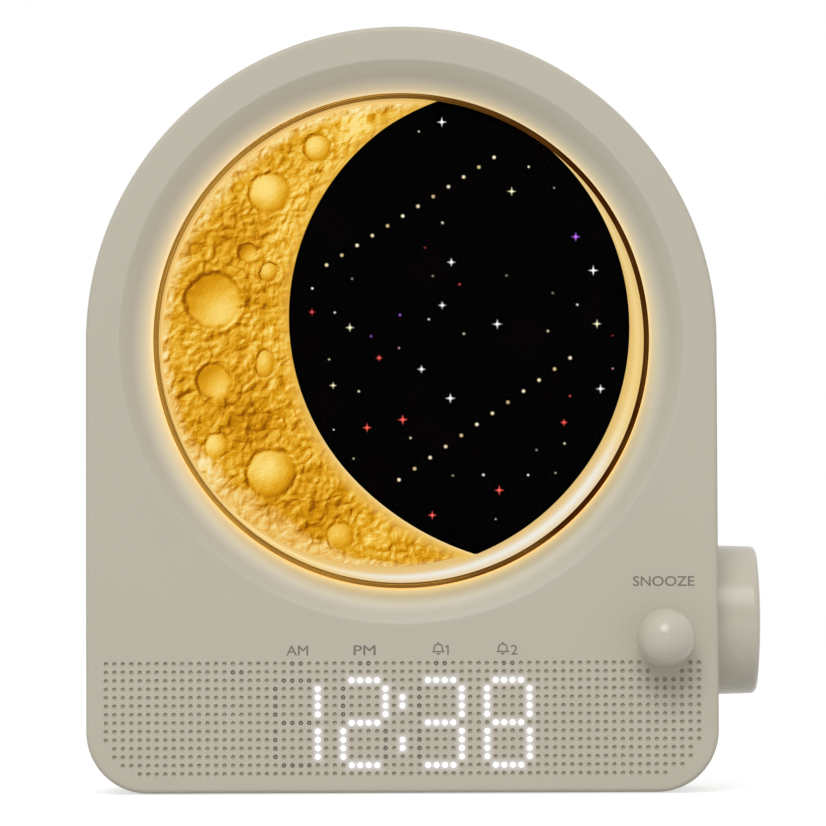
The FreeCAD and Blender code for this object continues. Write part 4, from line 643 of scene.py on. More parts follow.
class Skin(Enum):
    """Every finish on the clock, by what it is on."""

    SHELL = MouldedPlastic("abs_shell_spark_eroded", "#c2bcab", "#beb8a7", 0.52)
    FACE = ShellWithPaintedDotGlow("abs_face_painted_dot_glow", "#c2bcab", "#beb8a7", 0.52)
    # The dish is painted a shade lighter than the shell, painted light that lifts the shade on its slope, and
    # it carries the painted halo glow.
    DISH = DishWithPaintedHaloGlow("abs_dish_painted_halo_glow", "#c4bead", "#c0baa9", 0.5)
    CAP = MouldedPlastic("abs_caps_fine_matt", "#c8c2b2", "#c5bfae", 0.26, 0.3, 0.002)
    GOLD = PlatedGold("gold_plated_ring_painted_reflection", "#c8963f", "#4f2503")
    WINDOW = ClearAcrylic("acrylic_window_coated", "#fdfdfc")
    MASK = MaskPrint("black_print_night_sky", "#010101", "#0a0203")
    STARS = GlowInk("translucent_star_inks")
    VEIL = ThinLacquer("amber_lacquer_thin")
    MOON = MoonCasting("amber_resin_moon_painted_shade")
    TRAY = SatinReflector("gold_lacquer_painted_lamp_glow")
    HALO = LampPlastic("opal_halo_guide", "#f2d090", 0.4)
    DIGIT_ON = LampPlastic("opal_digit_lens_lit", "#ffffff", 1.1)
    DIGIT_OFF = MouldedPlastic("opal_digit_lens_unlit", "#9a9b94", "#92938d", 0.4, 0.5, 0.002)
    LEGEND = MouldedPlastic("pad_print_grey_ink", "#77736b", "#736f67", 0.6, 0.5, 0.001)
    RUBBER = MouldedPlastic("silicone_rubber_moulded", "#3c3a38", "#353331", 0.8, 0.8, 0.02)
    BOARD = GlassClothBoard("glass_epoxy_board_green", "#1f5b34", "#1b5430")
    LENS = LampPlastic("epoxy_lamp_lens", "#fff0c8", 2.0)
    SMOKE = MouldedPlastic("acrylic_smoke_sheet", "#2b2c2e", "#252628", 0.2, 0.6, 0.001)
    FRAME = MouldedPlastic("abs_frame_black", "#202022", "#1b1b1d", 0.5)
    SCREW = RolledMetal("zinc_plated_screws", "#b9bbbd", 0.32)
    ACETAL = MouldedPlastic("acetal_white_moulded", "#dcdad2", "#d5d3ca", 0.35, 0.4, 0.002)
    SWITCH = MouldedPlastic("nylon_switch_black", "#18181a", "#141416", 0.45)
    BRIGHT = RolledMetal("tinned_steel_parts", "#c9c8c4", 0.28)
    BASKET = RolledMetal("zinc_speaker_basket", "#8f9396", 0.4)
    FERRITE = MouldedPlastic("sintered_ferrite", "#2f3031", "#29292a", 0.7, 0.6, 0.01)
    PAPER = FibrePulp("paper_cone_pressed", "#2c2a28", "#3a3734")
    SURROUND = MouldedPlastic("nitrile_surround", "#1c1c1c", "#181818", 0.6)
    FOAM = FibrePulp("foam_gasket", "#3a3a3c", "#2d2d2f", 1.1)
    CHIP = MouldedPlastic("epoxy_chip_black", "#1c1d1f", "#18191b", 0.6)
    SLEEVE = MouldedPlastic("capacitor_sleeve", "#20262f", "#1c222a", 0.35)
    CONNECTOR = MouldedPlastic("nylon_connector_white", "#e6e2d6", "#dfdbce", 0.45)
    LEAD = MouldedPlastic("pvc_ribbon_grey", "#56565a", "#505054", 0.5)
    CELL = RolledMetal("nickel_cell_case", "#d0cfca", 0.22)
    PAPER_FLOOR = StudioWhite("white_seamless_paper")


class Body(Enum):
    """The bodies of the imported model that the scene's pieces ride on."""

    CASE = "clock_case"
    DIAL = "phase_dial"


# Mesh helpers

def link(name: str, data: bpy.types.ID) -> Object:
    """Makes an object of some data and links it to the scene.

    Args:
        name: The object's name.
        data: Its mesh, curve, light or camera.

    Returns:
        The object.
    """
    made = bpy.data.objects.new(name, data)
    bpy.context.scene.collection.objects.link(made)
    return made


def thicken(mesh: BMesh, faces: list[BMFace], high: float) -> list[BMFace]:
    """Extrudes faces as one region and lifts them.

    Args:
        mesh: The bmesh that they belong to.
        faces: The faces, which stay as the foot.
        high: How far they are lifted.

    Returns:
        The lifted faces.
    """
    made = bmesh.ops.extrude_face_region(mesh, geom=faces, use_keep_orig=True)["geom"]
    bmesh.ops.translate(mesh, vec=(0.0, 0.0, high), verts=[item for item in made if isinstance(item, BMVert)])
    return [item for item in made if isinstance(item, BMFace)]


def round_off(mesh: BMesh, geom: list[BMVert] | list[BMEdge], size: float, segments: int) -> list[BMFace]:
    """Bevels edges or corners.

    Args:
        mesh: The bmesh that they belong to.
        geom: The edges, or the corners.
        size: How much is taken off.
        segments: How many steps the rounding has.

    Returns:
        The new faces.
    """
    affect = "EDGES" if isinstance(geom[0], BMEdge) else "VERTICES"
    return bmesh.ops.bevel(mesh, geom=geom, offset=size, offset_type="OFFSET", segments=segments, profile=0.5,
                           affect=affect, material=-1)["faces"]


def turned(mesh: BMesh, geom: list[BMVert | BMEdge], centre: tuple[float, float, float], steps: int,
           angle: float = math.tau) -> None:
    """Spins points and edges about an axis that stands on the face.

    Args:
        mesh: The bmesh that they belong to.
        geom: The points and edges.
        centre: A point of the axis.
        steps: How many steps the spin takes.
        angle: How far it goes, in radians; a full turn is closed.
    """
    bmesh.ops.spin(mesh, geom=geom, cent=centre, axis=(0.0, 0.0, 1.0), angle=angle, steps=steps,
                   use_merge=angle == math.tau)


def disc(mesh: BMesh, segments: int, radius: float, place: tuple[float, float, float]) -> list[BMVert]:
    """Adds a flat face with its corners on a circle."""
    return bmesh.ops.create_circle(mesh, cap_ends=True, segments=segments, radius=radius,
                                   matrix=Matrix.Translation(place))["verts"]


def piece(name: str, mesh: BMesh, body: Body, skins: list[Skin], replaces: tuple[str, ...] = (),
          hard: bool = False) -> None:
    """Turns a finished bmesh into an object that rides on a body.

    Args:
        name: The piece's name.
        mesh: The bmesh in the face frame, which is freed.
        body: What it rides on.
        skins: One finish for each material index.
        replaces: The CAD nodes that it stands for.
        hard: Keeps flat faces flat beside rounded edges.
    """
    bmesh.ops.transform(mesh, matrix=FACE, verts=mesh.verts)
    bmesh.ops.recalc_face_normals(mesh, faces=mesh.faces)
    for face in mesh.faces:
        face.smooth = True
    for edge in mesh.edges:
        if len(edge.link_faces) == 2 and edge.calc_face_angle(0.0) > math.radians(40):
            edge.smooth = False
    data = bpy.data.meshes.new(name)
    mesh.to_mesh(data)
    mesh.free()
    for skin in skins:
        data.materials.append(skin.value.material())
    made = link(name, data)
    if hard:
        made.modifiers.new("flat_faces", "WEIGHTED_NORMAL").keep_sharp = True
    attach(made, body.value)
    if replaces:
        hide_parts(*replaces)
    LOG.info("%s: %d faces on %s", name, len(data.polygons), body.value)


def dress(skin: Skin, *nodes: str) -> None:
    """Gives CAD nodes a finish in place of their plain material.

    Args:
        skin: The finish.
        *nodes: The nodes' names.
    """
    for node in nodes:
        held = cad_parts[node].data.materials
        for index in range(len(held)):
            held[index] = skin.value.material()
        LOG.info("%s: dressed in %s", node, skin.value.name)


def spun_profile(mesh: BMesh, points: list[tuple[float, float]], centre: tuple[float, float], steps: int,
                 rounds: dict[int, float] | None = None) -> list[BMEdge]:
    """Spins a profile of radius and w about an axis through the face.

    Args:
        mesh: The bmesh that it goes into.
        points: Radius and w of each point, in order.
        centre: Where the axis stands, in u and v.
        steps: How many steps a turn has.
        rounds: The rounding of a point, by its index.

    Returns:
        All edges that the spin made.
    """
    before = set(mesh.edges)
    line = [mesh.verts.new((centre[0] + radius, centre[1], w)) for radius, w in points]
    for one, other in zip(line, line[1:]):
        mesh.edges.new((one, other))
    for index, size in (rounds or {}).items():
        round_off(mesh, [line[index]], size, 4)
    wire = [edge for edge in mesh.edges if edge not in before]
    ends = {vert for edge in wire for vert in edge.verts}
    turned(mesh, [*ends, *wire], (*centre, 0.0), steps)
    return [edge for edge in mesh.edges if edge not in before]


def ring_at(edges: list[BMEdge], radius: float, w: float,
            centre: tuple[float, float] = (0.0, 0.0)) -> list[BMEdge]:
    """Picks the edges that lie on one circle of a spun shape.

    Args:
        edges: The shape's edges.
        radius: The circle's radius.
        w: The circle's w.
        centre: Where its middle is, in u and v.

    Returns:
        The edges on the circle.
    """
    def on(vert: BMVert) -> bool:
        """Tells if a vertex lies on the circle."""
        away = math.hypot(vert.co.x - centre[0], vert.co.y - centre[1])
        return abs(away - radius) < 1e-3 and abs(vert.co.z - w) < 1e-3
    return [edge for edge in edges if on(edge.verts[0]) and on(edge.verts[1])]


def plate(mesh: BMesh, loops: list[BMEdge]) -> list[BMFace]:
    """Fills the flat region between an outer loop and the loops inside it."""
    made = bmesh.ops.triangle_fill(mesh, edges=loops, use_beauty=True, use_dissolve=False)
    return [item for item in made["geom"] if isinstance(item, BMFace)]


# The dot grid that the grille and the display share

class Dot(Enum):
    """What one place of the dot grid is."""

    DIMPLE = 1
    UNLIT = 2
    LIT = 3


@dataclass(frozen=True)
class DotGrid:
    """The grid of dots across the foot of the face, and what its digits show."""

    pitch: float = 2.2
    columns: int = 71
    rows: int = 14
    top: float = -84.0
    dimple: float = 0.6
    shown: str = "12:38"
    digit_columns: tuple[int, ...] = (20, 28, 37, 45)
    digit_top: int = 2
    run: int = 4
    colon: int = 35
    colon_rows: tuple[int, ...] = (4, 5, 9, 10)
    signals: tuple[tuple[int, ...], ...] = ((22, 23, 30, 31, 39, 40, 47, 48), (15, 16))
    inset: tuple[int, ...] = (0, 0, 0, 0, 0, 0, 0, 0, 0, 0, 1, 1, 2, 4)
    button_gap: tuple[tuple[int, int, int], ...] = ((0, 64, 68), (1, 65, 67))

    def place(self, column: int, row: int) -> tuple[float, float]:
        """Gives the u and v of a dot."""
        return (column - self.columns // 2) * self.pitch, self.top - row * self.pitch

    def segments(self, left: int) -> dict[str, list[tuple[int, int]]]:
        """Lists the dots of a digit's seven segments, by letter.

        Args:
            left: The digit's left column.

        Returns:
            Columns and rows for each of the segments a to g.
        """
        right, top, middle = left + self.run + 1, self.digit_top, self.digit_top + self.run + 1
        bottom = middle + self.run + 1
        across = range(left + 1, right)
        high, low = range(top + 1, middle), range(middle + 1, bottom)
        return {
            "a": [(c, top) for c in across], "g": [(c, middle) for c in across],
            "d": [(c, bottom) for c in across], "f": [(left, r) for r in high],
            "b": [(right, r) for r in high], "e": [(left, r) for r in low],
            "c": [(right, r) for r in low]}

    def lamps(self) -> dict[tuple[int, int], Dot]:
        """Says which dots have a lamp behind them, and which of those are lit.

        Returns:
            Lit or unlit for each such column and row.
        """
        strokes = {"0": "abcdef", "1": "bc", "2": "abged", "3": "abgcd", "4": "fgbc", "5": "afgcd",
                   "6": "afgedc", "7": "abc", "8": "abcdefg", "9": "abfgcd"}
        found = {}
        for digit, left in zip(self.shown.replace(":", ""), self.digit_columns):
            for letter, dots in self.segments(left).items():
                found.update({dot: Dot.LIT if letter in strokes[digit] else Dot.UNLIT for dot in dots})
        found.update({(self.colon, row): Dot.LIT for row in self.colon_rows})
        found.update(
            {(column, row): Dot.UNLIT for row, columns in enumerate(self.signals) for column in columns})
        return found

    def has_dimple(self, column: int, row: int) -> bool:
        """Tells if a place without a lamp has a dimple: not past the row's ends nor by the button."""
        bare = any(row == high and left <= column <= right for high, left, right in self.button_gap)
        return self.inset[row] <= column < self.columns - self.inset[row] and not bare

    def table(self) -> dict[tuple[int, int], Dot]:
        """Lists every dot of the grid that is there.

        Returns:
            What each such column and row is.
        """
        lamps = self.lamps()
        return {(column, row): lamps.get((column, row), Dot.DIMPLE)
                for row in range(self.rows) for column in range(self.columns)
                if (column, row) in lamps or self.has_dimple(column, row)}


# Sub-assemblies

@dataclass(frozen=True)
class FrontShell:
    """The moulded front half of the case, with its dish, its dot grille and the button's hole."""

    half_width: float = 82.2
    leg: float = 117.6
    corner: float = 16.0
    depth: float = 20.0
    wall: float = 2.2
    skin: float = 2.4
    back_lip: float = 0.3
    edge_round: float = 1.2
    seam: float = 0.5
    dish_radius: float = 73.6
    bore_radius: float = 64.8
    dish_depth: float = 4.2
    dish_rounds: tuple[tuple[int, float], ...] = ((1, 0.35), (2, 0.25))
    dish_steps: int = 224
    rim_back: float = 6.6
    rib_radius: float = 77.0
    button: tuple[float, float] = (68.0, -77.5)
    button_hole: float = 3.25
    hole_round: float = 0.3
    hole_steps: int = 48
    dimple_steps: tuple[tuple[float, float], ...] = ((0.44, 0.88), (0.3, 0.72), (0.1, 0.5))
    socket_step: tuple[float, float] = (0.95, 0.97)
    painted_glow_between: float = 0.3
    grid: DotGrid = DotGrid()

    def block(self, mesh: BMesh) -> BMFace:
        """Makes the outline of the case as one face at the back, by a spun arch and two legs.

        Args:
            mesh: The bmesh that it goes into.

        Returns:
            The face.
        """
        first = mesh.verts.new((-self.half_width, 0.0, -self.depth))
        turned(mesh, [first], (0.0, 0.0, -self.depth), 160, -math.pi)
        feet = [vert for vert in mesh.verts if abs(vert.co.y) < 1e-4]
        legs = bmesh.ops.extrude_vert_indiv(mesh, verts=feet)["verts"]
        bmesh.ops.translate(mesh, vec=(0.0, -self.leg, 0.0), verts=legs)
        mesh.edges.new(legs)
        bmesh.ops.contextual_create(mesh, geom=mesh.edges[:])
        round_off(mesh, legs, self.corner, 14)
        return next(iter(mesh.faces))

    def hull(self, mesh: BMesh) -> tuple[list[BMEdge], list[BMEdge]]:
        """Pulls the outline forward, rounds the front edge and hollows the back.

        Args:
            mesh: The bmesh that it goes into.

        Returns:
            The open loop of the front face and the open loop inside it.
        """
        outline = self.block(mesh)
        lid = thicken(mesh, [outline], self.depth)[0]
        round_off(mesh, lid.edges[:], self.edge_round, 5)
        lid, back = (max((face for face in mesh.faces if abs(face.calc_center_median().z - level) < 1e-4),
                         key=BMFace.calc_area) for level in (0.0, -self.depth))
        front = lid.edges[:]
        for thickness in (self.back_lip, self.wall - self.back_lip):
            bmesh.ops.inset_region(mesh, faces=[back], thickness=thickness, depth=0.0, use_even_offset=True)
        floor = bmesh.ops.extrude_discrete_faces(mesh, faces=[back])["faces"][0]
        bmesh.ops.translate(mesh, vec=(0.0, 0.0, self.depth - self.skin), verts=floor.verts[:])
        inner = floor.edges[:]
        bmesh.ops.delete(mesh, geom=[lid, floor], context="FACES_ONLY")
        return front, inner

    def grille(self, mesh: BMesh) -> list[BMEdge]:
        """Makes the dot grille from a grid whose corners are opened into small cups.

        Args:
            mesh: The bmesh that it goes into.

        Returns:
            The grille's outer edges.
        """
        grid, table = self.grid, self.grid.table()
        before = set(mesh.verts)
        wide, high = grid.columns + 1, grid.rows + 1
        middle = grid.top - (grid.rows - 1) / 2 * grid.pitch
        place = Matrix.Translation((0.0, middle, 0.0)) @ Matrix.Diagonal(
            (wide * grid.pitch / 2, high * grid.pitch / 2, 1.0, 1.0))
        bmesh.ops.create_grid(mesh, x_segments=wide, y_segments=high, size=1.0, matrix=place)
        dots, spare = {}, []
        for vert in (vert for vert in mesh.verts if vert not in before):
            column = round(vert.co.x / grid.pitch) + grid.columns // 2
            row = round((grid.top - vert.co.y) / grid.pitch)
            if (column, row) in table:
                dots[vert] = table[column, row]
            elif not any((column + a, row + b) in table for a in (-1, 0, 1) for b in (-1, 0, 1)):
                spare.append(vert)
        bmesh.ops.delete(mesh, geom=spare, context="VERTS")
        border = [edge for edge in mesh.edges if edge.verts[0] not in before and edge.is_boundary]
        kinds = [(vert.co.copy(), kind) for vert, kind in dots.items()]
        mouths = round_off(mesh, list(dots), grid.dimple, 1)
        bmesh.ops.bisect_edges(mesh, edges=list({edge for face in mouths for edge in face.edges}), cuts=2)
        where = {(round(spot.x, 2), round(spot.y, 2)): kind for spot, kind in kinds}
        groups = {Dot.DIMPLE: [], Dot.UNLIT: [], Dot.LIT: []}
        for face in mouths:
            middle = face.calc_center_median()
            for vert in face.verts:
                vert.co = middle + (vert.co - middle).normalized() * grid.dimple
            groups[where[round(middle.x, 2), round(middle.y, 2)]].append(face)
        self.light_up(mesh, groups[Dot.LIT])
        for step in self.dimple_steps:
            groups[Dot.DIMPLE] = self.sink(mesh, groups[Dot.DIMPLE], *step)
        for kind in (Dot.UNLIT, Dot.LIT):
            self.sink(mesh, groups[kind], *self.socket_step)
        return border

    def light_up(self, mesh: BMesh, mouths: list[BMFace]) -> None:
        """Gives the surface a painted glow that is full at the lit dots and falls off between them.

        Args:
            mesh: The bmesh that they belong to.
            mouths: The faces of the lit dots.
        """
        layer = mesh.verts.layers.float.new("glow")
        rims = {vert for face in mouths for vert in face.verts}
        for vert in rims:
            vert[layer] = 1.0
        cells = {face for vert in rims for face in vert.link_faces}.difference(mouths)
        for vert in bmesh.ops.poke(mesh, faces=list(cells))["verts"]:
            vert[layer] = self.painted_glow_between

    def sink(self, mesh: BMesh, faces: list[BMFace], deep: float, share: float) -> list[BMFace]:
        """Extrudes faces inwards one by one and narrows each about its own middle.

        Args:
            mesh: The bmesh that they belong to.
            faces: The faces.
            deep: How far in they go.
            share: Their new width over the old one.

        Returns:
            The sunk faces.
        """
        sunk = bmesh.ops.extrude_discrete_faces(mesh, faces=faces)["faces"]
        for face in sunk:
            middle = face.calc_center_median()
            for vert in face.verts:
                vert.co = middle + (vert.co - middle) * share - Vector((0.0, 0.0, deep))
        return sunk

    def build(self) -> None:
        """Joins the hull, dish, button hole and grille into one closed moulding."""
        mesh = bmesh.new()
        front, inner = self.hull(mesh)
        lip, flange = self.dish_radius + self.seam, self.button_hole + self.seam
        dish = spun_profile(mesh, [
            (lip, 0.0), (self.dish_radius, 0.0), (self.bore_radius, -self.dish_depth),
            (self.bore_radius, -self.rim_back), (self.rib_radius, -self.rim_back),
            (self.rib_radius, -self.skin)], (0.0, 0.0), self.dish_steps, dict(self.dish_rounds))
        hole = spun_profile(mesh, [(flange, 0.0), (self.button_hole, 0.0), (self.button_hole, -self.skin)],
                            self.button, self.hole_steps, {1: self.hole_round})
        for face in {face for edge in dish for face in edge.link_faces}:
            face.material_index = 1
        border = self.grille(mesh)
        plate(mesh, front + border + ring_at(dish, lip, 0.0) + ring_at(hole, flange, 0.0, self.button))
        plate(mesh, inner + ring_at(dish, self.rib_radius, -self.skin)
              + ring_at(hole, self.button_hole, -self.skin, self.button))
        piece("front_shell", mesh, Body.CASE, [Skin.FACE, Skin.DISH], ("front_case",), True)


@dataclass(frozen=True)
class DigitLenses:
    """The small lenses of the display: domed and bright where lit, grey and sunk where not."""

    grid: DotGrid = DotGrid()
    lit_radius: float = 0.68
    unlit_radius: float = 0.4
    lit_front: float = 0.12
    lit_back: float = 0.01
    unlit_front: float = -0.3
    unlit_back: float = -0.9
    taper: float = 0.9
    crown: float = 0.2

    def lens(self, mesh: BMesh, place: tuple[float, float], radius: float, base: float, dome: float) -> None:
        """Adds one lens, a short round plug with a domed top.

        Args:
            mesh: The bmesh that it goes into.
            place: Where it is, in u and v.
            radius: Its radius.
            base: The w of its back.
            dome: The w of the middle of its front.
        """
        high = dome - base
        side = high * (1 - self.crown)
        made = bmesh.ops.create_cone(
            mesh, cap_ends=True, segments=12, radius1=radius, radius2=radius * self.taper, depth=side,
            matrix=Matrix.Translation((*place, base + side / 2)))
        top = max({face for vert in made["verts"] for face in vert.link_faces},
                  key=lambda face: face.calc_center_median().z)
        crown = bmesh.ops.poke(mesh, faces=[top])["verts"]
        bmesh.ops.translate(mesh, vec=(0.0, 0.0, high * self.crown), verts=crown)

    def build(self) -> None:
        """Builds the lit and the unlit lenses, one piece each."""
        lit, unlit = bmesh.new(), bmesh.new()
        looks = {Dot.LIT: (lit, self.lit_radius, self.lit_back, self.lit_front),
                 Dot.UNLIT: (unlit, self.unlit_radius, self.unlit_back, self.unlit_front)}
        for dot, kind in self.grid.table().items():
            if kind in looks:
                mesh, *sizes = looks[kind]
                self.lens(mesh, self.grid.place(*dot), *sizes)
        piece("digit_lenses_lit", lit, Body.CASE, [Skin.DIGIT_ON])
        piece("digit_lenses_unlit", unlit, Body.CASE, [Skin.DIGIT_OFF])


@dataclass(frozen=True)
class Legends:
    """The grey printed words, numbers and bells on the face."""

    film: float = 0.02
    cap_height: float = 2.6
    weight: float = 0.008
    words: tuple[tuple[str, str, float, float, float], ...] = (
        ("am", "AM", -27.3, -81.9, 5.7), ("pm", "PM", -9.8, -81.9, 5.73),
        ("two", "2", 29.1, -81.9, 1.75), ("snooze", "SNOOZE", 68.0, -64.2, 15.9))
    bells: tuple[tuple[str, float, float], ...] = (("one", 9.35, -81.9), ("two", 26.1, -81.9))
    one: tuple[float, float] = (11.6, -81.9)

    def word(self, name: str, text: str, u: float, v: float, wide: float) -> None:
        """Prints one word, its middle and foot at u and v.

        Args:
            name: What the piece is called after legend_.
            text: The word.
            u: Where its middle is.
            v: Where its foot is.
            wide: Its printed width.
        """
        curve = bpy.data.curves.new(name, "FONT")
        curve.body, curve.size, curve.resolution_u = text, 1.0, 6
        curve.extrude, curve.bevel_depth, curve.bevel_resolution = self.weight, self.weight, 0
        maker = link(name, curve)
        thick = bpy.data.meshes.new_from_object(maker)
        bpy.data.objects.remove(maker)
        mesh = bmesh.new()
        mesh.from_mesh(thick)
        bmesh.ops.remove_doubles(mesh, verts=mesh.verts, dist=1e-5)
        low, high = (Vector(pick(vert.co[axis] for vert in mesh.verts) for axis in range(3))
                     for pick in (min, max))
        scale = Matrix.Diagonal(
            (wide / (high.x - low.x), self.cap_height / (high.y - low.y), self.film / (high.z - low.z), 1.0))
        middle = Matrix.Translation((-(high.x + low.x) / 2, -low.y, -low.z))
        bmesh.ops.transform(mesh, matrix=Matrix.Translation((u, v, 0.0)) @ scale @ middle, verts=mesh.verts)
        piece("legend_" + name, mesh, Body.CASE, [Skin.LEGEND])

    def printed(self, name: str, mesh: BMesh) -> None:
        """Gives a flat print the thickness of its film and makes it a piece."""
        thicken(mesh, mesh.faces[:], self.film)
        piece("legend_" + name, mesh, Body.CASE, [Skin.LEGEND])

    def loop(self, mesh: BMesh, points: list[tuple[float, float]]) -> list[BMEdge]:
        """Draws a closed outline through points."""
        line = [mesh.verts.new((x, y, 0.0)) for x, y in points]
        return [mesh.edges.new(pair) for pair in zip(line, line[1:] + line[:1])]

    def numeral_one(self) -> None:
        """Prints the 1 beside the first bell, with its flag."""
        mesh = bmesh.new()
        u, v = self.one
        edges = self.loop(mesh, [(u + x, v + y) for x, y in (
            (0.08, 0.0), (0.46, 0.0), (0.46, 2.6), (0.16, 2.6), (-0.5, 2.12), (-0.32, 1.84), (0.08, 2.12))])
        bmesh.ops.contextual_create(mesh, geom=edges)
        self.printed("one", mesh)

    def bell(self, name: str, u: float, v: float) -> None:
        """Prints one bell: an outline on a flared foot, with a knob and a clapper.

        Args:
            name: What the piece is called after legend_bell_.
            u: Where its middle is.
            v: Where its foot is.
        """
        outer = [(0.0, 3.06), (0.6, 2.94), (1.02, 2.62), (1.22, 2.1), (1.26, 1.5), (1.42, 1.12), (1.78, 0.74)]
        inner = [(0.0, 2.68), (0.44, 2.6), (0.74, 2.34), (0.87, 1.98), (0.9, 1.44), (0.98, 1.2), (1.08, 1.1)]
        mesh = bmesh.new()
        rims = [edge for half in (outer, inner)
                for edge in self.loop(mesh, half + [(-x, y) for x, y in reversed(half[1:])])]
        bmesh.ops.bridge_loops(mesh, edges=rims)
        disc(mesh, 12, 0.22, (0.0, 3.2, 0.0))
        clapper = Matrix.Translation((0.0, 0.36, 0.0)) @ Matrix.Diagonal((1.1, 0.6, 1.0, 1.0))
        bmesh.ops.create_circle(mesh, cap_ends=True, segments=16, radius=0.42, matrix=clapper)
        bmesh.ops.transform(mesh, matrix=Matrix.Translation((u, v - 0.05, 0.0)), verts=mesh.verts)
        self.printed("bell_" + name, mesh)

    def build(self) -> None:
        """Prints every word, number and bell."""
        for entry in self.words:
            self.word(*entry)
        for entry in self.bells:
            self.bell(*entry)
        self.numeral_one()


class Landform(Enum):
    """The two kinds of round form on the moon."""

    BOSS = "raised disc with a moat"
    BOWL = "hollow with a rim"


@dataclass(frozen=True)
class Crater:
    """One round form on the moon."""

    u: float
    v: float
    radius: float
    form: Landform
    tall: float = 1.0

    def lift(self, u: float, v: float) -> tuple[float, float, float]:
        """Gives the height that it adds at a place, how calm the surface is, and its painted shade: a dark
        moat, a lighter crown and one side darker than the other.

        Args:
            u: The place's u.
            v: The place's v.

        Returns:
            Height, calmness and painted darkness.
        """
        du, dv = u - self.u, (v - self.v) / self.tall
        t = math.hypot(du, dv) / self.radius
        if t > 1.7:
            return 0.0, 0.0, 0.0
        t += noise.noise(Vector((u, v, self.radius)) * 0.45) * 0.07
        moat = hump(t, 1.04, 0.07)
        rim = hump(t, 1.19, 0.11) * (0.75 + 0.6 * noise.noise(Vector((u, v, 9.0)) * 0.5))
        calm = clamp((1.08 - t) / 0.14)
        deep, crown = 0.2 * self.radius ** 0.75, max(0.0, 1 - t * t)
        # Painted light from one side: slope darkens one side of the form and lightens the other.
        slope = max(-1.0, min(1.0, (du - dv) / self.radius / 1.4))
        if self.form is Landform.BOSS:
            # Painted shade in the moat and a painted highlight on the crown.
            dark = (0.13 + 0.07 * slope) * moat - 0.24 * crown
            return deep * (1.25 * crown - 0.4 * moat + 0.3 * rim), calm, dark
        # Painted shade in the moat, and the hollow painted darker on one side and lighter on the other.
        dark = (0.24 - 0.1 * slope) * moat - (0.12 + 0.14 * slope) * crown
        return deep * (-1.3 * crown + 0.45 * rim - 0.2 * moat), calm, dark


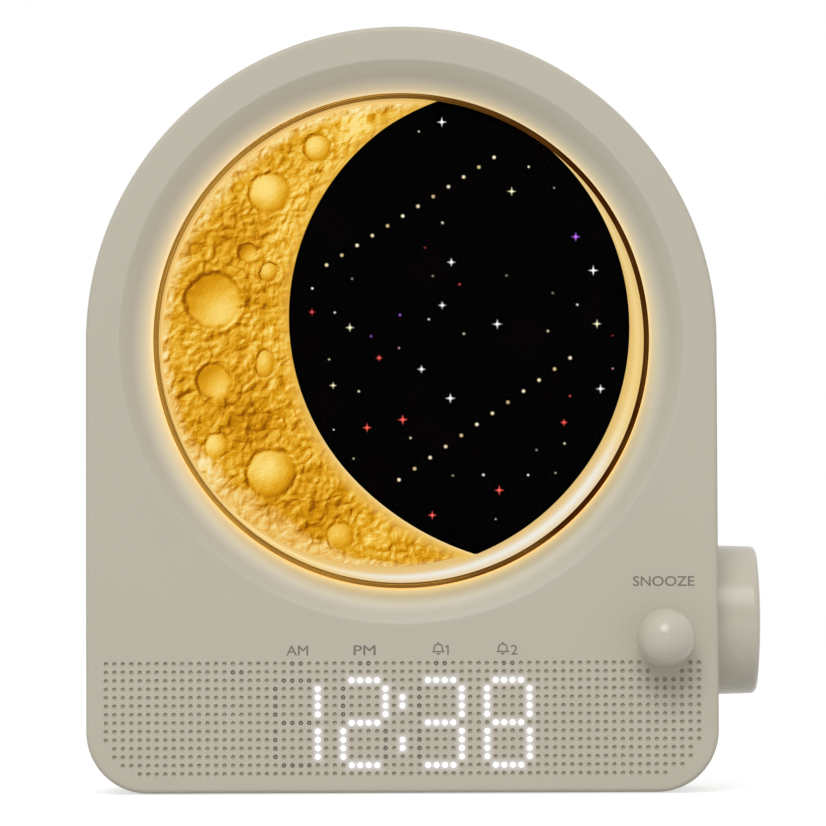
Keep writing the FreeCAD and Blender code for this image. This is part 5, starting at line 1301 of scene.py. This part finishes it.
@dataclass(frozen=True)
class MoonFace:
    """The cast moon behind the dial: a shallow dome with craters, ridges and lumps."""

    radius: float = 62.3
    centre: tuple[float, float] = (-3.6, 3.4)
    bore: float = 62.5
    foot: float = -7.0
    back: float = -9.5
    dome: float = 3.0
    rings: int = 120
    steps: int = 680
    rim: float = 63.0
    pale_reach: float = 2.9
    pale_arcs: tuple[tuple[float, float, float], ...] = ((6.4, 238.0, 27.0), (1.0, 150.0, 26.0))
    pale_boost: tuple[float, float] = (243.0, 26.0)
    white_arc: tuple[float, float] = (274.0, 17.0)
    white_reach: float = 4.2
    seas: tuple[tuple[float, float, float, float], ...] = (
        (-38.4, -20.0, 8.0, 0.2), (-41.0, 27.0, 6.5, 0.13), (-19.6, -42.5, 8.0, 0.13),
        (-34.0, 12.0, 6.0, 0.13), (-46.0, 41.0, 7.0, -0.08), (-34.2, 39.0, 5.0, -0.07),
        (-50.0, -33.0, 7.0, -0.2), (-34.0, -33.0, 5.0, -0.12), (-27.0, 30.0, 6.0, -0.04),
        (-56.0, 0.0, 9.0, -0.1), (-8.0, -53.0, 8.0, -0.14), (-49.0, 9.0, 5.0, -0.04),
        (-12.0, 57.0, 3.6, -0.4), (-20.0, 53.0, 5.0, -0.05), (12.0, 40.0, 9.0, 0.14),
        (33.0, -6.0, 10.0, 0.12), (24.0, -28.0, 8.0, 0.12), (48.0, 30.0, 8.0, -0.08),
        (4.0, -14.0, 8.0, 0.1))
    craters: tuple[Crater, ...] = (
        Crater(-34.2, 39.0, 5.2, Landform.BOSS), Crater(-21.7, 50.8, 3.5, Landform.BOSS),
        Crater(-49.1, 10.9, 6.9, Landform.BOWL), Crater(-34.5, 18.2, 2.5, Landform.BOSS),
        Crater(-40.2, 23.4, 2.4, Landform.BOWL), Crater(-35.5, -5.7, 2.5, Landform.BOSS, 1.4),
        Crater(-49.1, -10.2, 4.4, Landform.BOWL), Crater(-48.3, -27.1, 3.2, Landform.BOSS),
        Crater(-34.0, -34.4, 6.1, Landform.BOSS), Crater(-16.0, -51.0, 3.6, Landform.BOSS),
        Crater(15.1, 29.6, 5.6, Landform.BOSS), Crater(25.1, -15.3, 6.9, Landform.BOWL),
        Crater(2.6, -4.1, 4.4, Landform.BOSS), Crater(40.2, 18.5, 4.8, Landform.BOSS),
        Crater(45.6, -9.0, 3.1, Landform.BOSS), Crater(17.5, -39.0, 4.6, Landform.BOWL),
        Crater(39.8, -31.5, 3.4, Landform.BOSS), Crater(27.5, 44.0, 3.2, Landform.BOWL),
        Crater(-7.5, -22.5, 3.4, Landform.BOSS), Crater(-5.5, 35.5, 4.2, Landform.BOWL),
        Crater(31.0, 4.5, 2.4, Landform.BOSS), Crater(8.5, 14.0, 2.6, Landform.BOWL))

    def height(self, u: float, v: float) -> tuple[float, float, float]:
        """Gives the w of the surface at a place, how calm it is there and how dark: the seas' own tone plus
        the craters' painted shade and highlight.

        Args:
            u: The place's u.
            v: The place's v.

        Returns:
            The w, the calmness and the darkness.
        """
        away = math.hypot(u - self.centre[0], v - self.centre[1]) / self.radius
        spot = Vector((u, v, 0.0))
        lumps = 0.34 * noise.fractal(spot * 0.3, 0.8, 2.1, 3) + 0.24 * noise.noise(spot * 0.12)
        w, calm = 0.0, 0.0
        dark = sum(deep * math.exp(-((u - x) ** 2 + (v - y) ** 2) / reach ** 2)
                   for x, y, reach, deep in self.seas)
        for crater in self.craters:
            lift, still, moat = crater.lift(u, v)
            w += lift
            calm = max(calm, still)
            # Adds the crater's painted shade and highlight.
            dark += moat
        edge = min(1.0, (1.0 - away) * 14)
        return self.foot + self.dome * (1 - away ** 2) + (w + lumps * (1 - 0.9 * calm)) * edge, calm, dark

    def tone(self, u: float, v: float) -> tuple[float, float]:
        """Gives how pale the rim is at a place, and how white the lamps make it.

        Args:
            u: The place's u.
            v: The place's v.

        Returns:
            Paleness and whiteness.
        """
        inward = self.rim - math.hypot(u, v)
        turn = bearing(u, v)
        ragged = 1.0 + 0.3 * noise.noise(Vector((u, v, 3.0)) * 0.2)
        reach = sum((far * hump(turn, *arc) for far, *arc in self.pale_arcs), self.pale_reach)
        pale = max(0.0, 1 - inward / (reach * ragged))
        white = clamp(1.3 - inward / self.white_reach) * 0.8 * hump(turn, *self.white_arc)
        return min(1.0, pale * (0.85 + 0.9 * hump(turn, *self.pale_boost))), white

    def build(self) -> None:
        """Spins a disc, raises its relief and closes it with a wall and a back."""
        mesh = bmesh.new()
        step = self.radius / self.rings
        x, y = self.centre
        line = [mesh.verts.new((x + step * i, y, 0.0)) for i in range(self.rings + 1)]
        wire = [mesh.edges.new(pair) for pair in zip(line, line[1:])]
        turned(mesh, [*line, *wire], (x, y, 0.0), self.steps)
        bmesh.ops.remove_doubles(mesh, verts=mesh.verts, dist=1e-4)
        layer = mesh.verts.layers.float_color.new("tone")
        for vert in mesh.verts:
            away = math.hypot(vert.co.x, vert.co.y)
            if away > self.bore:
                vert.co.x *= self.bore / away
                vert.co.y *= self.bore / away
            vert.co.z, calm, dark = self.height(vert.co.x, vert.co.y)
            # The tone's last channel holds the seas' own tone and the craters' painted shade and highlight.
            vert[layer] = (calm, *self.tone(vert.co.x, vert.co.y), dark)
        rim = [edge for edge in mesh.edges if edge.is_boundary]
        wall = bmesh.ops.extrude_edge_only(mesh, edges=rim)["geom"]
        low = [item for item in wall if isinstance(item, BMVert)]
        for vert in low:
            vert.co.z = self.back
        bmesh.ops.edgeloop_fill(mesh, edges=[item for item in wall
                                             if isinstance(item, BMEdge) and item.is_boundary])
        piece("moon_relief", mesh, Body.CASE, [Skin.MOON], ("moon_face",))


@dataclass(frozen=True)
class NightSky:
    """What turns by hand: the gold ring, its window, the black mask with its stars, and the amber
    lacquer beside the mask."""

    ring: tuple[tuple[float, float], ...] = (
        (63.1, 0.55), (63.1, 1.45), (63.44, 1.45), (63.58, 1.7), (64.14, 1.7), (64.26, 1.45), (64.5, 1.45),
        (64.5, -2.9), (64.2, -2.9), (64.2, 0.55))
    ring_rounds: tuple[tuple[int, float], ...] = ((1, 0.05), (3, 0.1), (4, 0.1), (6, 0.04))
    window_radius: float = 64.15
    window_front: float = 0.5
    window_back: float = -0.85
    window_round: float = 0.12
    print_level: float = -0.99
    print_top: float = -0.93
    mask_front: float = -1.0
    mask_back: float = -1.7
    middle: tuple[float, float] = (14.0, 4.0)
    limb: tuple[float, float, float] = (-3.6, 3.4, 63.2)
    dark: tuple[float, float, float] = (31.9, 6.1, 61.1)
    opening: float = 63.35
    veil: tuple[tuple[float, str, float], ...] = (
        (0.0, "#dcaa44", 0.95), (0.3, "#e6b244", 0.8), (1.2, "#ecb84a", 0.45), (3.6, "#ecb63e", 0.0))
    veil_ends: tuple[float, float] = (111.0, 258.5)
    veil_light: str = "#fde6a2"
    veil_back: float = -1.6
    veil_thick: float = 0.05
    rows: tuple[tuple[float, float, float, float], ...] = (
        (-19.4, 19.8, 24.4, 47.8), (-0.7, -36.3, 44.0, -4.7))
    row_count: int = 12
    seed: int = 11
    sparkles: int = 20
    specks: int = 34
    inks: tuple[str, ...] = (
        "#ff5a50", "#f4ecc0", "#ffffff", "#f4ecc0", "#ffffff", "#b266f0", "#f0f4d8", "#ffffff", "#f6b0d0",
        "#ffffff", "#f4ecc0", "#e24a44", "#ffffff", "#6a70ff")
    row_inks: tuple[str, ...] = ("#f8e6b8", "#e0c48c", "#fcf0cc")
    row_dot: float = 0.47
    margin: float = 3.4
    spread: tuple[tuple[float, float], ...] = ((-30.0, 60.0), (-58.0, 62.0))
    # The gap to other stars, the least and greatest reach, the waist, the ink of the tips, the power
    sparkle_kind: tuple[float, ...] = (9.5, 1.0, 1.45, 0.18, 0.5, 1.6)
    speck_kind: tuple[float, ...] = (5.0, 0.2, 0.36, 0.8, 0.85, 1.2)

    def bezel(self) -> None:
        """Spins the gold ring with its lip over the window and its skirt behind."""
        mesh = bmesh.new()
        edges = spun_profile(mesh, list(self.ring) + [self.ring[0]], (0.0, 0.0), 256, dict(self.ring_rounds))
        bmesh.ops.remove_doubles(mesh, verts=list({vert for edge in edges for vert in edge.verts}), dist=1e-4)
        piece("gold_ring", mesh, Body.DIAL, [Skin.GOLD], ("moon_bezel",), True)

    def window(self) -> None:
        """Makes the clear pane, a disc with softened edges."""
        mesh = bmesh.new()
        disc(mesh, 192, self.window_radius, (0.0, 0.0, self.window_back))
        thicken(mesh, mesh.faces[:], self.window_front - self.window_back)
        rims = [edge for edge in mesh.edges if abs(edge.verts[0].co.z - edge.verts[1].co.z) < 1e-4]
        round_off(mesh, rims, self.window_round, 2)
        piece("window_pane", mesh, Body.DIAL, [Skin.WINDOW], ("phase_window",), True)

    def dark_radius(self, turn: float) -> float:
        """Gives the radius of the mask's left edge about its centre, at a bearing in degrees."""
        return self.dark[2] + 0.08 + 0.0017 * max(0.0, turn - 224) ** 2 - 0.035 * max(0.0, 126 - turn)

    def limb_radius(self, turn: float) -> float:
        """Gives how far the mask's right edge is from its centre.

        Args:
            turn: The bearing from that centre, in degrees.

        Returns:
            The radius.
        """
        if turn > 180:
            return self.limb[2] - 0.1 + 0.012 * max(0.0, 320 - turn)
        return self.limb[2] - 0.1 - 0.00155 * min(45.0, max(0.0, turn - 40)) ** 2

    def edge(self, way: Vector) -> float:
        """Finds how far the mask reaches from its middle.

        Args:
            way: The direction in u and v, of unit length.

        Returns:
            The distance to the nearest of its two edges and the ring.
        """
        low, high = 0.0, 2 * self.opening
        for _ in range(24):
            reach = (low + high) / 2
            u, v = self.middle[0] + way.x * reach, self.middle[1] + way.y * reach
            if self.inside(u, v, 0.0):
                low = reach
            else:
                high = reach
        return low

    def inside(self, u: float, v: float, margin: float) -> bool:
        """Tells if a place lies on the black mask.

        Args:
            u: The place's u.
            v: The place's v.
            margin: How far it has to be from the edges.

        Returns:
            True if it does.
        """
        for (x, y, _), radius in ((self.limb, self.limb_radius), (self.dark, self.dark_radius)):
            turn = bearing(u - x, v - y)
            if math.hypot(u - x, v - y) > radius(turn) - margin:
                return False
        return math.hypot(u, v) < self.opening - margin

    def mask(self) -> None:
        """Makes the black sheet, a disc drawn in to the mask's two edges."""
        mesh = bmesh.new()
        for vert in disc(mesh, 540, 1.0, (*self.middle, self.mask_back)):
            way = Vector((vert.co.x - self.middle[0], vert.co.y - self.middle[1])).normalized()
            reach = self.edge(way)
            vert.co.x, vert.co.y = self.middle[0] + way.x * reach, self.middle[1] + way.y * reach
        thicken(mesh, mesh.faces[:], self.mask_front - self.mask_back)
        piece("sky_mask", mesh, Body.DIAL, [Skin.MASK], ("night_shade",), True)

    def lacquer(self) -> None:
        """Runs a thin strip along the mask's left edge, its ink thinning out away from it."""
        mesh = bmesh.new()
        layer = mesh.verts.layers.float_color.new("ink")
        x, y, radius = self.dark
        rails = []
        for out, ink, cover in self.veil:
            start, end = math.radians(self.veil_ends[0] + out), math.radians(self.veil_ends[1] - out)
            first = mesh.verts.new(
                (x + radius * math.cos(start), y + radius * math.sin(start), self.veil_back))
            edges, verts = set(mesh.edges), set(mesh.verts) - {first}
            turned(mesh, [first], (x, y, 0.0), 128, end - start)
            rails.append([edge for edge in mesh.edges if edge not in edges])
            for vert in set(mesh.verts) - verts:
                turn = bearing(vert.co.x - x, vert.co.y - y)
                reach = self.dark_radius(turn) + out - 0.02
                vert.co.x = x + reach * math.cos(math.radians(turn))
                vert.co.y = y + reach * math.sin(math.radians(turn))
                low = clamp((turn - 190) / 30)
                plain, lit = (Vector(linear(tint)[:3]) for tint in (ink, self.veil_light))
                shade = plain.lerp(lit, low * max(0.2, 0.9 - out))
                vert[layer] = (*shade, cover * (0.55 + 0.45 * low))
        for one, other in zip(rails, rails[1:]):
            bmesh.ops.bridge_loops(mesh, edges=one + other)
        thicken(mesh, mesh.faces[:], self.veil_thick)
        piece("mask_lacquer", mesh, Body.DIAL, [Skin.VEIL], (), True)

    def sparkle(self, mesh: BMesh, place: tuple[float, float], reach: float, points: int, waist: float,
                tip: float, ink: str, power: float = 1.0) -> None:
        """Prints one star, bright in its middle and fading to its points.

        Args:
            mesh: The bmesh that it goes into.
            place: Where it is, in u and v.
            reach: How far its points reach.
            points: How many points it has.
            waist: The share of the reach between two points.
            tip: The share of the ink at its points.
            ink: Its colour.
            power: How bright it is.
        """
        layer = mesh.verts.layers.float_color["ink"]
        made = disc(mesh, points * 2, reach, (*place, self.print_level))
        face = made[0].link_faces[0]
        tips = [vert for vert in made
                if round(math.degrees(math.atan2(vert.co.y - place[1], vert.co.x - place[0]))
                         * points / 180) % 2 == 0]
        waists = [vert for vert in made if vert not in tips]
        bmesh.ops.scale(mesh, vec=(waist, waist, 1.0), space=Matrix.Translation((-place[0], -place[1], 0.0)),
                        verts=waists)
        full = [part * power for part in linear(ink)]
        for vert in tips:
            vert[layer] = [part * tip for part in full]
        for vert in waists:
            vert[layer] = full
        crown = bmesh.ops.poke(mesh, faces=thicken(mesh, [face], self.print_top - self.print_level))["verts"]
        for vert in crown:
            vert[layer] = full

    def stars(self) -> None:
        """Prints the two rows of lit dots and the scattered stars between them."""
        dots = [(a + (c - a) * i / (self.row_count - 1), b + (d - b) * i / (self.row_count - 1))
                for a, b, c, d in self.rows for i in range(self.row_count)]
        rows = bmesh.new()
        rows.verts.layers.float_color.new("ink")
        for index, place in enumerate(dots):
            ink = self.row_inks[index % len(self.row_inks)]
            self.sparkle(rows, place, self.row_dot, 6, 0.97, 0.75, ink)
        sky = bmesh.new()
        sky.verts.layers.float_color.new("ink")
        dice = random.Random(self.seed)
        taken = list(dots)
        count = 0
        while count < self.sparkles + self.specks:
            place = tuple(dice.uniform(*span) for span in self.spread)
            gap, low, high, waist, tip, power = (
                self.sparkle_kind if count < self.sparkles else self.speck_kind)
            if self.inside(*place, self.margin) and all(math.dist(place, other) > gap for other in taken):
                taken.append(place)
                ink = self.inks[dice.randrange(len(self.inks))]
                self.sparkle(sky, place, dice.uniform(low, high), 4, waist, tip, ink, power)
                count += 1
        piece("star_rows", rows, Body.DIAL, [Skin.STARS])
        piece("star_prints", sky, Body.DIAL, [Skin.STARS])

    def build(self) -> None:
        """Builds the ring, the window, the mask, its stars and its lacquer."""
        for part in (self.bezel, self.window, self.mask, self.lacquer, self.stars):
            part()


@dataclass(frozen=True)
class CarriedParts:
    """The CAD nodes that stay as they are and only take a finish."""

    outer: tuple[tuple[Skin, tuple[str, ...]], ...] = (
        (Skin.SHELL, ("rear_case",)),
        (Skin.CAP, ("snooze_ball", "volume_knob", "battery_cover", *(f"rear_key_{n}" for n in range(1, 7)))),
        (Skin.RUBBER, ("base_pad",)),
        (Skin.TRAY, ("moon_tray",)),
        (Skin.HALO, ("halo_diffuser",)),
    )
    by_slot: tuple[tuple[str, Skin], ...] = (
        ("circuit_board", Skin.BOARD), ("lamp_lens", Skin.LENS), ("digit_lens", Skin.DIGIT_OFF),
        ("smoke_sheet", Skin.SMOKE), ("frame_black", Skin.FRAME), ("screw_steel", Skin.SCREW),
        ("stem_acetal", Skin.ACETAL), ("switch_black", Skin.SWITCH), ("bright_metal", Skin.BRIGHT),
        ("speaker_frame", Skin.BASKET), ("ferrite", Skin.FERRITE), ("cone_paper", Skin.PAPER),
        ("surround_rubber", Skin.SURROUND), ("gasket_foam", Skin.FOAM), ("chip_epoxy", Skin.CHIP),
        ("can_sleeve", Skin.SLEEVE), ("connector_white", Skin.CONNECTOR), ("cell_steel", Skin.CELL),
        ("foot_rubber", Skin.RUBBER), ("case_shell", Skin.SHELL), ("cap_plastic", Skin.CAP),
        ("lead_sleeve", Skin.LEAD))

    def build(self) -> None:
        """Dresses the outer nodes by name and every other node by its material slot."""
        for skin, nodes in self.outer:
            dress(skin, *nodes)
        skins = dict(self.by_slot)
        for name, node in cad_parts.items():
            slot = node.data.materials[0].name
            if slot in skins:
                dress(skins[slot], name)


@dataclass(frozen=True)
class Studio:
    """The floor, the light and the camera, none of them part of the clock."""

    aim: tuple[float, float, float] = (3.0, -29.0, 98.95)
    distance: float = 1300.0
    pitch: float = -2.4
    roll: float = 0.2
    seen_width: float = 215.0
    sensor: float = 36.0
    ambient: float = 0.6
    dark_room: float = 0.4
    floor_size: float = 6.0
    # The light, in metres and watts
    key_place: tuple[float, float, float] = (-0.45, -3.25, 2.65)
    key_aim: tuple[float, float, float] = (0.0, 0.0, 0.1)
    key_size: float = 2.0
    key_power: float = 78.0

    def world(self) -> None:
        """Gives white to the camera, an even level to surfaces, and a darker room in front to gloss."""
        world = bpy.data.worlds.new("studio")
        bpy.context.scene.world = world
        world.use_nodes = True
        tree = world.node_tree
        tree.nodes.clear()
        ray = add(tree, "LightPath")
        way = add(tree, "SeparateXYZ", {0: add(tree, "TexCoord").outputs["Generated"]})
        room = add(tree, "MapRange", {"Value": way.outputs["Y"], "From Min": -0.9, "From Max": -0.1,
                                      "To Min": self.dark_room, "To Max": 1.0})
        sharp = add(tree, "Math", {
            0: ray.outputs["Is Glossy Ray"], 1: ray.outputs["Is Transmission Ray"]}, operation="MAXIMUM")
        gloss = add(tree, "Mix", {"Factor": sharp, "A": self.ambient, "B": room}, data_type="FLOAT")
        level = add(tree, "Mix", {
            "Factor": ray.outputs["Is Camera Ray"], "A": gloss, "B": 1.0}, data_type="FLOAT")
        back = add(tree, "Background", {"Color": "#ffffff", "Strength": level})
        add(tree, "OutputWorld", {"Surface": back})

    def light(self) -> None:
        """Hangs the square soft light, which looks at the clock."""
        data = bpy.data.lights.new("key_soft_box", "AREA")
        data.energy, data.shape, data.size = self.key_power, "SQUARE", self.key_size
        lamp = link("key_soft_box", data)
        lamp.location = self.key_place
        aim = Vector(self.key_aim) - Vector(self.key_place)
        lamp.rotation_euler = aim.to_track_quat("-Z", "Y").to_euler()

    def floor(self) -> None:
        """Lays the white paper that the clock stands on."""
        mesh = bmesh.new()
        bmesh.ops.create_grid(mesh, x_segments=1, y_segments=1, size=self.floor_size)
        data = bpy.data.meshes.new("paper_floor")
        mesh.to_mesh(data)
        mesh.free()
        data.materials.append(Skin.PAPER_FLOOR.value.material())
        link("paper_floor", data)

    def camera(self) -> None:
        """Stands the camera where the photograph was taken from."""
        tilt = math.radians(self.pitch)
        back = Vector((0.0, -math.cos(tilt), math.sin(tilt)))
        data = bpy.data.cameras.new("camera")
        data.sensor_width = self.sensor
        data.lens = self.sensor * self.distance / self.seen_width
        data.clip_start, data.clip_end = 0.01, 100.0
        made = link("camera", data)
        made.location = (Vector(self.aim) + back * self.distance) * MM
        made.rotation_euler = (math.pi / 2 - tilt, 0.0, 0.0)
        made.rotation_euler.rotate_axis("Z", math.radians(-self.roll))
        bpy.context.scene.camera = made

    def build(self) -> None:
        """Sets up the whole studio."""
        bpy.context.scene.view_settings.view_transform = "Standard"
        self.world()
        self.floor()
        self.light()
        self.camera()


def main() -> None:
    """Builds the clock's sub-assemblies in order."""
    logging.basicConfig(level=logging.INFO, format="%(name)s: %(message)s")
    CarriedParts().build()
    for part in (FrontShell(), DigitLenses(), Legends(), MoonFace(), NightSky()):
        part.build()
    Studio().build()


if __name__ == "__main__":
    main()
